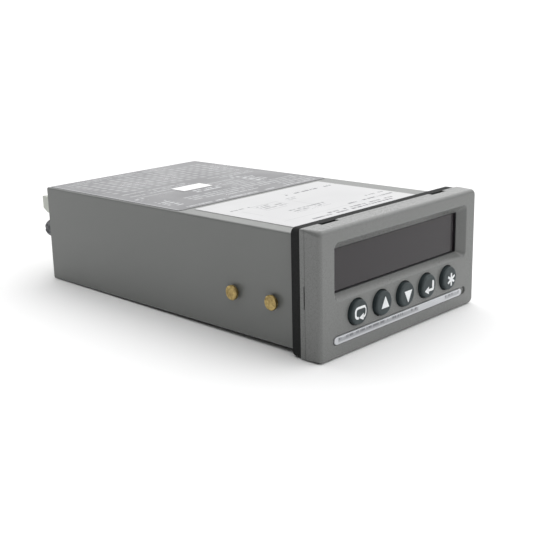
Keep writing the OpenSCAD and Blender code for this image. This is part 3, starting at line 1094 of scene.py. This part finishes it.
# Green resist on boards that lie flat, and on the upright display board.
RESIST = SolderResist()
UPRIGHT_RESIST = SolderResist("upright_solder_resist", turn=(math.pi / 2, 0.0, 0.0))
# White plate with a silver film: bright, blurred, with generic print at its two ends.
STRIP_FILM = PrintedFilm(
    "silver_strip_film", "cacccf", "c4c6ca", "66676c", upright=True, row=2.4, stroke=0.8, roughness=0.36,
    metallic=0.35, marks=(
        Mark(Print.RULE, (-38.8, -17.4), (9.0, -16.1), 0.45),
        Mark(Print.WORDS, (-38.8, -17.6), (9.0, -15.9), 0.85),
        Mark(Print.RULE, (27.0, -17.4), (36.8, -16.1), 0.4),
        Mark(Print.WORDS, (27.0, -17.6), (36.8, -15.9), 0.7)))
# Dark polyester film, printed in pale grey.
DARK_FILM = PrintedFilm(
    "dark_label_film", "515156", "4d4d51", "bcbec1", roughness=0.3, marks=(
        Mark(Print.DOTS, (-40.0, 108.5), (40.0, 140.5), 0.4),
        Mark(Print.WORDS, (-41.0, 140.6), (20.0, 146.5), 0.4),
        Mark(Print.WORDS, (22.0, 66.6), (41.0, 80.0), 0.45),
        Mark(Print.WORDS, (4.5, 81.5), (18.0, 93.0), 0.4),
        Mark(Print.WORDS, (-38.0, 98.5), (-2.0, 107.0), 0.5),
        Mark(Print.WORDS, (12.0, 100.0), (39.0, 107.0), 0.4),
        Mark(Print.RULE, (2.0, 94.6), (18.6, 95.2), 0.8),
        Mark(Print.RULE, (-38.0, 94.6), (-16.5, 95.2), 0.5),
        Mark(Print.DOTS, (19.8, 80.4), (24.2, 101.0), 1.0),
        Mark(Print.WORDS, (24.6, 82.0), (30.0, 96.0), 0.7),
        Mark(Print.DOTS, (-41.0, 88.6), (-36.6, 93.0), 1.0),
        Mark(Print.WORDS, (-13.5, 83.5), (4.0, 88.5), 0.9),
        Mark(Print.WORDS, (-26.0, 72.0), (26.0, 80.5), 0.5),
        Mark(Print.WORDS, (-39.8, 69.8), (-33.4, 84.0), 0.7),
        Mark(Print.WORDS, (-10.5, 68.4), (9.0, 70.4), 0.8),
        Mark(Print.WORDS, (-37.5, 63.2), (40.0, 66.4), 0.7),
        Mark(Print.RULE, (-43.6, 62.3), (-43.2, 148.0), 0.7)))
# White paper-like film, printed in grey.
WHITE_FILM = PrintedFilm(
    "white_label_film", "cacacb", "c5c5c6", "505058", row=2.4, stroke=0.9, roughness=0.42, marks=(
        Mark(Print.WORDS, (3.0, 47.9), (35.0, 50.5), 1.0),
        Mark(Print.WORDS, (-34.0, 43.2), (-23.0, 45.0), 0.7),
        Mark(Print.RULE, (-23.0, 43.0), (-9.0, 43.4), 0.35),
        Mark(Print.RULE, (-23.2, 34.0), (-22.8, 43.4), 0.35),
        Mark(Print.RULE, (-9.2, 36.0), (-8.8, 43.4), 0.35),
        Mark(Print.RULE, (-23.0, 33.8), (-12.0, 34.2), 0.35),
        Mark(Print.WORDS, (-22.0, 35.0), (-10.0, 42.0), 0.6),
        Mark(Print.RULE, (-31.2, 29.0), (-30.8, 40.0), 0.25),
        Mark(Print.RULE, (-3.7, 27.0), (-3.3, 43.0), 0.25),
        Mark(Print.WORDS, (-3.0, 40.0), (3.5, 44.0), 0.55),
        Mark(Print.WORDS, (-19.0, 22.5), (1.5, 28.0), 0.7),
        Mark(Print.WORDS, (22.0, 21.4), (33.5, 23.6), 0.8),
        Mark(Print.WORDS, (5.0, 16.8), (33.5, 19.2), 0.9),
        Mark(Print.RULE, (-33.5, 15.8), (35.5, 16.1), 0.25),
        Mark(Print.WORDS, (-13.0, 12.0), (27.0, 14.4), 0.95),
        Mark(Print.WORDS, (-24.5, 9.6), (24.5, 11.8), 0.95)))
# A plain white sticker with a faint grey line.
STICKER_FILM = PrintedFilm(
    "sticker_paper", "f4f4f4", "efefef", "b4b4b6", row=2.6, roughness=0.55, marks=(
        Mark(Print.WORDS, (-13.5, 92.5), (-0.5, 97.5), 0.35),))
# Opaque matt white ink, a little thin in places.
INK = PrintInk()
# Dull dark blue-grey silicone with a little dust.
RUBBER = SiliconeRubber()
# A dull black cut edge with open pores.
FOAM = FoamRubber()
# A nearly black pane that mirrors the room softly.
WINDOW_ACRYLIC = SmokedAcrylic()
# Plain matt white.
FLOOR_BOARD = StudioBoard()

NODE_FINISHES: dict[str, Finish] = {
    "case_plastic": CASE_PLASTIC, "rear_plastic": REAR_PLASTIC, "bezel_plastic": BEZEL_PLASTIC,
    "gasket_rubber": FOAM, "mask_black": MASK_PLASTIC, "smoked_window": WINDOW_ACRYLIC,
    "strip_silver": STRIP_FILM, "key_rubber": RUBBER, "stud_brass": STUD_BRASS, "dark_steel": DARK_STEEL,
    "screw_steel": SCREW_STEEL, "circuit_board": RESIST, "digit_plastic": DIGIT_PLASTIC,
    "component_black": COMPONENT_EPOXY, "ribbon_grey": RIBBON_VINYL, "core_steel": CORE_STEEL,
    "coil_tape": COIL_TAPE, "relay_plastic": RELAY_PLASTIC, "capacitor_sleeve": SLEEVE,
    "fuse_glass": GLASS_TUBE, "heat_sink_aluminium": FIN_ALUMINIUM, "terminal_plastic": TERMINAL_PLASTIC,
    "dark_label": DARK_FILM, "white_label": WHITE_FILM,
}


def fit_out(piece: Piece, body: str, slot: str, finish: Finish | None = None) -> Piece:
    """Give a finished piece the material of its record slot and its body, and log it.

    Args:
        piece: the piece.
        body: the CAD body that it rides on.
        slot: the record's material slot.
        finish: its finish, or None for the slot's own.

    Returns:
        The piece.
    """
    material = (finish or NODE_FINISHES[slot]).material()
    piece.data.materials.clear()
    piece.data.materials.append(material)
    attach(piece, body)
    log.info("%s rides on %s, %d faces, %s", piece.name, body, len(piece.data.polygons), material.name)
    return piece


# ------------------------------------------------------------------ sub-assemblies


@dataclass
class Housing:
    """The case sleeve, the rear frame of the bezel, the gasket and the rear panel."""

    case_edge: float = 0.12
    frame_edge: float = 0.3
    gasket_edge: float = 0.3
    panel_edge: float = 0.2

    def build(self) -> None:
        """Ease the edges of the four mouldings and dress them."""
        rows = (("case_shell", self.case_edge, "case_plastic"),
                ("bezel_rear_frame", self.frame_edge, "bezel_plastic"),
                ("panel_gasket", self.gasket_edge, "gasket_rubber"),
                ("rear_panel", self.panel_edge, "rear_plastic"))
        for node, edge, slot in rows:
            fit_out(refined(node, node + "_moulding", edge), HOUSING, slot)


@dataclass
class BezelFront:
    """The front moulding: soft rim, sloped window frame, key holes and the pocket for the strip."""

    half: Pair = (48.0, 23.6)
    front: float = -13.2
    seam: float = -6.2
    corner: float = 2.4
    seam_corner: float = 0.8
    rim: float = 1.5
    window: Pair = (76.0, 16.3)
    window_at: Pair = (0.5, 7.35)
    slope: float = 2.9
    sill_slope: float = 2.1
    window_wall: float = 0.7
    inner_corner: float = 0.6
    outer_corner: float = 2.4
    key_pitch: float = 14.1
    key_z: float = -8.8
    key_hole: float = 4.9
    pocket: tuple[float, float, float, float] = (0.25, -16.8, 82.9, 3.1)
    pocket_depth: float = 0.7
    # Half the width and height of the two rooms behind the front wall, and the wall at the keys.
    display_room: Pair = (45.5, 21.1)
    key_room: Pair = (43.5, 21.0)
    key_wall: float = 2.0
    sill: float = 0.35
    # The cut edges on the front face are eased up to here, and the seam all round.
    edge: float = 0.35
    edge_reach: Triple = (42.5, 20.0, 21.0)
    seam_edge: float = 0.12

    def build(self) -> None:
        """Model the moulding and dress it."""
        w, h = self.half
        piece = box("bezel_front_moulding", (-w, self.front, -h), (w, self.seam, h))
        round_edges(piece, runs_along(1), self.corner, 12)
        self.sharpen_seam(piece)
        round_edges(piece, lies_at(1, self.front), self.rim, 8)
        carve(piece, *self.hollows(), self.flare(), self.opening(), self.strip_pocket(), *self.holes())
        round_edges(piece, lies_at(1, self.front, self.edge_reach), self.edge, 3)
        round_edges(piece, lies_at(1, self.seam), self.seam_edge, 1)
        smooth(piece)
        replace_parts(piece, "bezel_front")
        fit_out(piece, HOUSING, "bezel_plastic")

    def sharpen_seam(self, piece: Piece) -> None:
        """Draw the round corners in at the seam, so that they are nearly sharp there and widen to the front.

        Args:
            piece: the block with its corners rounded.
        """
        w, h = self.half
        scale = self.seam_corner / self.corner
        behind = (self.front + self.seam) / 2 * MM
        for side in (-1, 1):
            for level in (-1, 1):
                choose(piece, Pick.VERT,
                       lambda spot: spot.y > behind and spot.x * side > 0 and spot.z * level > 0)
                corner = (side * w * MM, self.seam * MM, level * h * MM)
                with editing(piece, Pick.VERT):
                    bpy.ops.transform.resize(value=(scale, 1, scale), center_override=corner)

    def hollows(self) -> list[Piece]:
        """The two spaces behind the front wall.

        Returns:
            Their solids.
        """
        back = self.seam + 1
        ceiling = self.window_at[1] - self.window[1] / 2 - self.sill_slope + self.sill
        deep = self.front + self.slope + self.window_wall
        (w, h), (key_w, key_h) = self.display_room, self.key_room
        display = box("display_room", (-w, deep, -h), (w, back, h))
        keys = box("key_room", (-key_w, self.front + self.key_wall, -key_h), (key_w, back, ceiling))
        return [display, keys]

    def flare(self) -> Piece:
        """The solid that cuts the slope: small and sharp at the window, wide and round at the front.

        Returns:
            The solid.
        """
        (w, h), (x, z), over = self.window, self.window_at, 0.1
        grow, sill = self.slope + over, self.sill_slope + over
        cutter = box("window_flare", (x - w / 2, self.front - over, z - h / 2),
                     (x + w / 2, self.front + self.slope, z + h / 2))
        round_edges(cutter, runs_along(1), self.inner_corner, 8)
        front = (self.front - over / 2) * MM
        wider, taller = 1 + 2 * grow / w, 1 + (grow + sill) / h
        middle = (x * MM, front, (z - h / 2 + sill / (taller - 1)) * MM)
        choose(cutter, Pick.VERT, lambda spot: spot.y < front)
        with editing(cutter, Pick.VERT):
            bpy.ops.transform.resize(value=(wider, 1, taller), center_override=middle)
        round_x = self.outer_corner / (self.inner_corner * wider)
        round_z = self.outer_corner / (self.inner_corner * taller)
        for side in (-1, 1):
            for level, edge in ((-1, z - h / 2 - sill), (1, z + h / 2 + grow)):
                choose(cutter, Pick.VERT, lambda spot: (
                    spot.y < front and (spot.x - x * MM) * side > 0 and (spot.z - z * MM) * level > 0))
                corner = ((x + side * (w / 2 + grow)) * MM, front, edge * MM)
                with editing(cutter, Pick.VERT):
                    bpy.ops.transform.resize(value=(round_x, 1, round_z), center_override=corner)
        return cutter

    def opening(self) -> Piece:
        """The straight opening behind the slope.

        Returns:
            Its solid.
        """
        (w, h), (x, z) = self.window, self.window_at
        deep = self.front + self.slope
        return plate("window_opening", (x - w / 2, deep - 0.4, z - h / 2),
                     (x + w / 2, deep + 3, z + h / 2), 1, self.inner_corner, 0)

    def strip_pocket(self) -> Piece:
        """The shallow pocket with round ends for the strip.

        Returns:
            Its solid.
        """
        x, z, w, h = self.pocket
        return plate("strip_pocket", (x - w / 2, self.front - 1, z - h / 2),
                     (x + w / 2, self.front + self.pocket_depth, z + h / 2), 1, h / 2 - 0.01, 0, 12)

    def holes(self) -> list[Piece]:
        """The round holes for the keys.

        Returns:
            Their solids.
        """
        return [rod(f"key_hole_{i}", (i * self.key_pitch, self.front - 1, self.key_z), Axis.REAR,
                    self.key_hole, 4) for i in range(-2, 3)]


@dataclass
class Display:
    """The black mask, the smoked window and the digits behind it."""

    window: Pair = (75.2, 15.5)
    window_at: Pair = (0.5, 7.35)
    face: float = -9.6
    thickness: float = 1.2
    digit_x: tuple[float, ...] = (-30.9, -18.4, -5.9, 6.9, 19.4, 31.9)
    digit: Pair = (6.6, 11.2)
    bar: float = 1.25
    segment_y: Pair = (-7.62, -7.5)
    mask_edge: float = 0.05
    pane_corner: float = 0.4
    pane_edge: float = 0.05

    def build(self) -> None:
        """Build the mask, the window and the digits."""
        fit_out(refined("display_mask", "display_mask_moulding", self.mask_edge), HOUSING, "mask_black")
        (w, h), (x, z) = self.window, self.window_at
        pane = plate("display_window_pane", (x - w / 2, self.face, z - h / 2),
                     (x + w / 2, self.face + self.thickness, z + h / 2), 1,
                     self.pane_corner, self.pane_edge, 4)
        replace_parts(smooth(pane), "display_window")
        fit_out(pane, HOUSING, "smoked_window")
        first = self.one_digit()
        digits = [first] + [copy_of(first, f"digit_{i}", (x - self.digit_x[0], 0, 0))
                            for i, x in enumerate(self.digit_x) if i]
        fit_out(smooth(join("digit_segments", digits)), HOUSING, "digit_plastic", SEGMENT_RESIN)

    def segment(self, name: str, x: float, z: float, length: float, upright: bool) -> Piece:
        """One bar with pointed ends.

        Args:
            name: the bar's name.
            x: its middle on X.
            z: its middle on Z.
            length: its length.
            upright: whether it stands.

        Returns:
            The bar.
        """
        half, wide = length / 2, self.bar / 2
        dx, dz = (wide, half) if upright else (half, wide)
        bar = box(name, (x - dx, self.segment_y[0], z - dz), (x + dx, self.segment_y[1], z + dz))
        way = 2 if upright else 0
        for side in (-1, 1):
            choose(bar, Pick.FACE, lambda centre, normal: normal[way] * side > 0.5)
            step = [side * (wide if axis == way else 0) * MM for axis in range(3)]
            back = [-v for v in step]
            with editing(bar):
                bpy.ops.transform.translate(value=back)
                bpy.ops.mesh.extrude_region_move(TRANSFORM_OT_translate={"value": step})
                scale = (0.1, 1, 1) if upright else (1, 1, 0.1)
                bpy.ops.transform.resize(value=scale, center_override=(x * MM, 0, z * MM))
        return bar

    def one_digit(self) -> Piece:
        """The seven bars of the first digit.

        Returns:
            The bars as one piece.
        """
        x, z = self.digit_x[0], self.window_at[1]
        w, h = self.digit
        flat, tall = w - self.bar * 0.6, h / 2 - self.bar * 0.6
        bars = [self.segment(f"bar_{i}", x, z + level * h / 2, flat, False)
                for i, level in enumerate((-1, 0, 1))]
        bars += [self.segment(f"post_{side}{level}", x + side * w / 2, z + level * h / 4, tall, True)
                 for side in (-1, 1) for level in (-1, 1)]
        return join("digit_0", bars)


@dataclass
class NameStrip:
    """The silver strip below the keys."""

    size: Pair = (79.4, 2.8)
    x: float = -1.1
    z: float = -16.8
    face: float = -13.5
    back: float = -12.5

    def build(self) -> None:
        """Model the strip and dress it."""
        w, h = self.size
        strip = plate("label_strip_plate", (self.x - w / 2, self.face, self.z - h / 2),
                      (self.x + w / 2, self.back, self.z + h / 2), 1, h / 2 - 0.01, 0.12, 12)
        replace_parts(smooth(strip), "label_strip")
        fit_out(strip, HOUSING, "strip_silver")


class Icon(Enum):
    """What a key's print shows, with its middle's offset from the key's."""

    SCROLL = (0.35, -0.3)
    UP = (0.5, 0.0)
    DOWN = (0.5, -0.6)
    ENTER = (0.1, -0.5)
    STAR = (0.9, -0.6)


@dataclass
class Key:
    """One rubber key: a soft-edged cap with a shallow dish, its flange and stem, and its printed icon."""

    name: str
    x: float
    icon: Icon
    z: float = -8.8
    face: float = 14.9
    radius: float = 4.65
    edge: float = 0.8
    flange: float = 5.2
    flange_at: Pair = (10.0, 11.0)
    stem: float = 2.0
    foot: float = 4.6
    dish: float = 0.07
    # The dish from rim to middle: how much of its depth, at how much of the key's radius.
    dish_steps: tuple[Pair, ...] = ((0.1, 0.76), (0.4, 0.62), (0.8, 0.4), (1.0, 0.1))
    ink: Pair = (-14.888, -14.7)

    def build(self) -> None:
        """Model the key and its icon and dress them."""
        back, front = self.flange_at
        rim = arc(self.face - self.edge, self.radius - self.edge, self.edge, 0, 90, 8)
        rings = [(self.foot, self.stem), (back, self.stem), (back, self.flange), (front, self.flange),
                 (front, self.radius), *rim]
        rings += [(self.face - self.dish * part, self.radius * size) for part, size in self.dish_steps]
        body = f"{self.name}_key"
        cap = smooth(turned(f"key_{self.name}_cap", (self.x, 0, self.z), Axis.FRONT, rings))
        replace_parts(cap, f"key_{self.name}")
        fit_out(cap, body, "key_rubber")
        makers = {Icon.SCROLL: self.scroll, Icon.UP: self.up, Icon.DOWN: self.down, Icon.ENTER: self.enter,
                  Icon.STAR: self.star}
        icon = makers[self.icon](self.x + self.icon.value[0], self.z + self.icon.value[1])
        icon.name = f"key_{self.name}_icon"
        fit_out(smooth(icon), body, "key_rubber", INK)

    def tile(self, low: Pair, high: Pair, corner: float = 0.12) -> Piece:
        """A flat of ink with round corners, from low to high on X and Z."""
        return plate("tile", (low[0], self.ink[0], low[1]), (high[0], self.ink[1], high[1]), 1, corner, 0, 6)

    def wedge(self, tip: Pair, base: Pair, half: float) -> Piece:
        """A flat triangle of ink.

        Args:
            tip: its tip on X and Z.
            base: the middle of its base, straight behind or below the tip.
            half: half the width of its base.

        Returns:
            The triangle.
        """
        level = 0 if abs(tip[0] - base[0]) > abs(tip[1] - base[1]) else 1
        low = [min(a, b) for a, b in zip(tip, base)]
        high = [max(a, b) for a, b in zip(tip, base)]
        low[1 - level] -= half
        high[1 - level] += half
        piece = box("wedge", (low[0], self.ink[0], low[1]), (high[0], self.ink[1], high[1]))
        way = 2 * level
        sign = 1 if tip[level] > base[level] else -1
        choose(piece, Pick.FACE, lambda centre, normal: normal[way] * sign > 0.5)
        scale = (1, 1, 0.04) if level == 0 else (0.04, 1, 1)
        with editing(piece):
            bpy.ops.transform.resize(value=scale, center_override=(tip[0] * MM, 0, tip[1] * MM))
        return piece

    def up(self, x: float, z: float) -> Piece:
        """A triangle that points up."""
        return self.wedge((x, z + 2.45), (x, z - 1.85), 2.3)

    def down(self, x: float, z: float) -> Piece:
        """A triangle that points down."""
        return self.wedge((x, z - 2.5), (x, z + 2.0), 2.35)

    def scroll(self, x: float, z: float) -> Piece:
        """A round-cornered loop that ends in an arrow head.

        Args:
            x: its middle on X.
            z: its middle on Z.

        Returns:
            The icon.
        """
        loop = self.tile((x - 3.45, z - 2.0), (x + 3.45, z + 2.55), 1.7)
        carve(loop, self.tile((x - 2.55, z - 1.1), (x + 2.55, z + 1.65), 0.9))
        gap = box("gap", (x - 1.3, -16, z - 3), (x + 1.3, -14, z - 0.9))
        return join("scroll", [carve(loop, gap), self.wedge((x - 1.0, z - 1.6), (x + 1.5, z - 1.6), 1.3)])

    def enter(self, x: float, z: float) -> Piece:
        """A return arrow: down, then left.

        Args:
            x: its middle on X.
            z: its middle on Z.

        Returns:
            The icon.
        """
        post = self.tile((x + 1.8, z - 1.6), (x + 3.0, z + 2.45))
        carve(post, self.tile((x - 0.6, z - 1.6), (x + 3.0, z - 0.6)), how="UNION")
        return join("enter", [post, self.wedge((x - 3.0, z - 1.1), (x - 0.4, z - 1.1), 1.5)])

    def star(self, x: float, z: float) -> Piece:
        """Three bars that cross at 60 degrees.

        Args:
            x: its middle on X.
            z: its middle on Z.

        Returns:
            The icon.
        """
        bars = []
        for step in range(3):
            bar = self.tile((x - 0.45, z - 2.6), (x + 0.45, z + 2.6), 0.2)
            choose(bar, Pick.VERT, lambda spot: True)
            with editing(bar, Pick.VERT):
                bpy.ops.transform.rotate(value=math.radians(60 * step), orient_axis="Y",
                                         center_override=(x * MM, 0, z * MM))
            bars.append(bar)
        return carve(bars[0], *bars[1:], how="UNION")


@dataclass
class ClampStuds:
    """Four turned brass studs, two on each side, for the panel clamps."""

    side: float = 45.5
    places: Pair = (10.6, 30.5)
    z: float = -5.7
    # From the root in the case's wall to the head, as distance from the wall and radius.
    profile: tuple[Pair, ...] = (
        (-4.0, 1.5), (0.0, 1.5), (0.0, 1.9), (1.0, 1.9), (1.0, 2.72),
        (1.18, 2.9), (1.92, 2.9), (2.12, 2.76), (2.18, 2.5), (2.2, 1.5))

    def build(self) -> None:
        """Turn one stud, copy it to the other places and dress them."""
        first = turned("stud_0", (-self.side, self.places[0], self.z), Axis.LEFT, self.profile, 48)
        near = self.places[1] - self.places[0]
        studs = [first, copy_of(first, "stud_1", (0, near, 0)),
                 copy_of(first, "stud_2", (0, 2 * self.places[0], 0), 180),
                 copy_of(first, "stud_3", (0, 2 * self.places[0] + near, 0), 180)]
        piece = smooth(join("clamp_studs_turned", studs))
        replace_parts(piece, "clamp_studs")
        fit_out(piece, HOUSING, "stud_brass")


@dataclass
class Thumbscrews:
    """The two knurled thumbscrews that hold the rear panel."""

    x: float = 40.6
    z: float = 0.8
    seat: float = 149.5
    radius: float = 4.1
    length: float = 7.0
    ridges: int = 36
    knurl: float = 0.93
    slot: Pair = (1.0, 1.2)
    sharp: float = 28.0

    def build(self) -> None:
        """Turn one screw, knurl and slot it, copy it and dress both."""
        r, end = self.radius, self.length
        rings = [(-10.0, 2.0), (0.0, 2.0), (0.0, r - 1.5), (0.55, r - 1.5), (0.55, r - 0.3), (0.85, r),
                 (end - 1.1, r), (end - 0.8, r - 0.3), (end - 0.8, r - 0.6), (end - 0.15, r - 0.6),
                 (end, r - 0.75)]
        screw = turned("thumbscrew_0", (-self.x, self.seat, self.z), Axis.REAR, rings, self.ridges * 2)
        step = math.pi / self.ridges
        rim = (r - 0.4) * MM

        def in_groove(spot: Vector) -> bool:
            """Tell whether a vertex is on every other line of the knurled rim.

            Args:
                spot: the vertex.

            Returns:
                Whether it is.
            """
            dx, dz = spot.x + self.x * MM, spot.z - self.z * MM
            return math.hypot(dx, dz) > rim and round(math.atan2(dz, dx) / step) % 2 == 0

        choose(screw, Pick.VERT, in_groove)
        with editing(screw, Pick.VERT):
            bpy.ops.transform.resize(value=(self.knurl, 1, self.knurl),
                                     center_override=(-self.x * MM, 0, self.z * MM))
        tip, (wide, deep) = self.seat + end, self.slot
        carve(screw, box("slot", (-self.x - 5, tip - deep, self.z - wide / 2),
                         (-self.x + 5, tip + 1, self.z + wide / 2)))
        piece = join("thumbscrews_knurled", [screw, copy_of(screw, "thumbscrew_1", (2 * self.x, 0, 0))])
        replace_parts(smooth(piece, self.sharp), "chassis_thumbscrews")
        fit_out(piece, HOUSING, "dark_steel")


@dataclass
class Labels:
    """The dark and the white label on the top, and the small sticker on the dark one."""

    top: float = 20.8
    film: float = 0.15
    edge: float = 0.05
    # Each label's node, its lowest and highest corner, the radius of its corners and its slot.
    cuts: tuple[tuple[str, Pair, Pair, float, str], ...] = (
        ("connection_label", (-44.3, 61.5), (44.3, 149.3), 1.5, "dark_label"),
        ("rating_label", (-38.5, 5.0), (35.7, 59.0), 1.0, "white_label"))
    sticker: tuple[Pair, Pair] = ((-15.6, 90.4), (1.3, 99.2))
    sticker_film: float = 0.1

    def build(self) -> None:
        """Cut the three films and dress them."""
        height = self.top + self.film
        for node, low, high, corner, slot in self.cuts:
            film = plate(node + "_film", (*low, self.top), (*high, height), 2, corner, self.edge, 6)
            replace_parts(smooth(film), node)
            fit_out(film, HOUSING, slot)
        low, high = self.sticker
        over = height + self.sticker_film
        sticker = plate("small_sticker", (*low, height), (*high, over), 2, 0.4, 0.03, 4)
        fit_out(smooth(sticker), HOUSING, "white_label", STICKER_FILM)


@dataclass
class Terminals:
    """The four plug-in terminal blocks with their screws, and the sockets that stay in the case."""

    names: tuple[str, ...] = ("input", "output", "relay", "supply")
    edge: float = 0.12

    def build(self) -> None:
        """Ease the edges of the plugs and sockets and dress them."""
        for name in self.names:
            plug = refined(f"{name}_plug", f"{name}_plug_moulding", self.edge)
            fit_out(plug, f"{name}_terminal_plug", "terminal_plastic")
            socket = refined(f"{name}_socket", f"{name}_socket_moulding", self.edge)
            fit_out(socket, HOUSING, "terminal_plastic")


@dataclass
class Studio:
    """The pale floor, the soft lights, the white surround and the camera."""

    focal: float = 65.24
    sensor: float = 36.0
    camera_at: Triple = (-286.434, -216.849, 97.262)
    forward: Triple = (0.668002, 0.697073, -0.260505)
    roll: float = -2.01
    shift: Pair = (0.07505, 0.0)
    floor_size: float = 12000.0
    front_foot: Pair = (-4.0, -23.6)
    rear_foot: Pair = (150.0, -21.8)
    lights: tuple[tuple[str, Triple, float, float], ...] = (
        ("softbox_overhead", (0.15, -0.1, 1.0), 100.0, 2.2),
        ("softbox_front", (0.55, -1.0, 0.55), 60.0, 0.75),
    )
    bright_way: Triple = (0.75, 0.66, 0.0)
    bright_fade: Pair = (0.05, 0.7)
    backdrop: float = 1.35
    dim_side: float = 0.12

    def build(self) -> None:
        """Lay the floor, hang the lights and place the camera."""
        self.lay_floor()
        self.hang_lights()
        self.surround()
        self.place_camera()

    def lay_floor(self) -> None:
        """Lay the floor under the lower edges of the bezel and of the case's rear end, on which it rests."""
        (y0, z0), (y1, z1) = self.front_foot, self.rear_foot
        tilt = math.atan2(z1 - z0, y1 - y0)
        bpy.ops.object.select_all(action="DESELECT")
        bpy.ops.mesh.primitive_plane_add(size=self.floor_size * MM, location=(0, y0 * MM, (z0 - 0.02) * MM),
                                         rotation=(tilt, 0, 0))
        floor = settle("studio_floor")
        floor.data.materials.append(FLOOR_BOARD.material())

    def hang_lights(self) -> None:
        """Hang the far softboxes, as suns with wide discs."""
        for name, come_from, angle, strength in self.lights:
            bpy.ops.object.select_all(action="DESELECT")
            turn = Vector(come_from).to_track_quat("Z", "Y").to_euler()
            bpy.ops.object.light_add(type="SUN", location=Vector(come_from), rotation=turn)
            light = bpy.context.object
            light.name = name
            light.data.angle = math.radians(angle)
            light.data.energy = strength

    def surround(self) -> None:
        """Make the surround white to the camera; to the object it is bright behind and dim at the side."""
        world = bpy.data.worlds.new("surround")
        world.use_nodes = True
        tree = world.node_tree
        tree.nodes.clear()
        way = add_node(tree, "TexCoord").outputs["Generated"]
        facing = add_node(tree, "VectorMath", {"operation": "DOT_PRODUCT"}, {0: way, 1: self.bright_way})
        dark, full = self.bright_fade
        bright = add_node(tree, "MapRange", inputs={
            "Value": facing.outputs["Value"], "From Min": dark, "From Max": full,
            "To Min": self.dim_side, "To Max": self.backdrop})
        seen = add_node(tree, "LightPath").outputs["Is Camera Ray"]
        strength = add_node(tree, "Math", LARGER, {0: bright.outputs["Result"], 1: seen}).outputs[0]
        background = add_node(tree, "Background", inputs={"Color": paint("ffffff"), "Strength": strength})
        add_node(tree, "OutputWorld", inputs={"Surface": background.outputs["Background"]})
        bpy.context.scene.world = world

    def place_camera(self) -> None:
        """Place the camera at its viewing angle."""
        forward = Vector(self.forward).normalized()
        right = forward.cross(Vector((0, 0, 1))).normalized()
        up = right.cross(forward)
        turn = Matrix((right, up, -forward)).transposed() @ Matrix.Rotation(math.radians(self.roll), 3, "Z")
        bpy.ops.object.camera_add(location=[v * MM for v in self.camera_at], rotation=turn.to_euler())
        camera = bpy.context.object
        camera.data.sensor_width = self.sensor
        camera.data.lens = self.focal
        camera.data.shift_x, camera.data.shift_y = self.shift
        camera.data.clip_start = 0.01
        bpy.context.scene.camera = camera
        bpy.context.scene.view_settings.view_transform = "Standard"


def dress_cad_nodes() -> None:
    """Give every CAD node the finish of its record slot."""
    for row in FRAME["record"]["subparts"]:
        node = FRAME["nodes"][row["node"]]
        finish = UPRIGHT_RESIST if row["node"] == "display_board" else NODE_FINISHES[row["material_slot"]]
        node.data.materials.clear()
        node.data.materials.append(finish.material())
        log.info("%s is dressed as %s", row["node"], finish.name)


@dataclass
class FrequencyCounter:
    """The whole object: every sub-assembly, in building order."""

    key_pitch: float = 14.1
    icons: dict[str, Icon] = field(default_factory=lambda: {
        "scroll": Icon.SCROLL, "up": Icon.UP, "down": Icon.DOWN, "enter": Icon.ENTER, "star": Icon.STAR})

    def build(self) -> None:
        """Build and dress every sub-assembly."""
        dress_cad_nodes()
        for part in (Housing(), BezelFront(), Display(), NameStrip(), ClampStuds(), Thumbscrews(), Labels(),
                     Terminals()):
            part.build()
        for i, (name, icon) in enumerate(self.icons.items()):
            Key(name, (i - 2) * self.key_pitch, icon).build()


def main() -> None:
    """Load the frame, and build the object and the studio."""
    logging.basicConfig(level=logging.INFO, format="%(name)s: %(message)s")
    FRAME.update(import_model())
    FrequencyCounter().build()
    Studio().build()


if __name__ == "__main__":
    main()
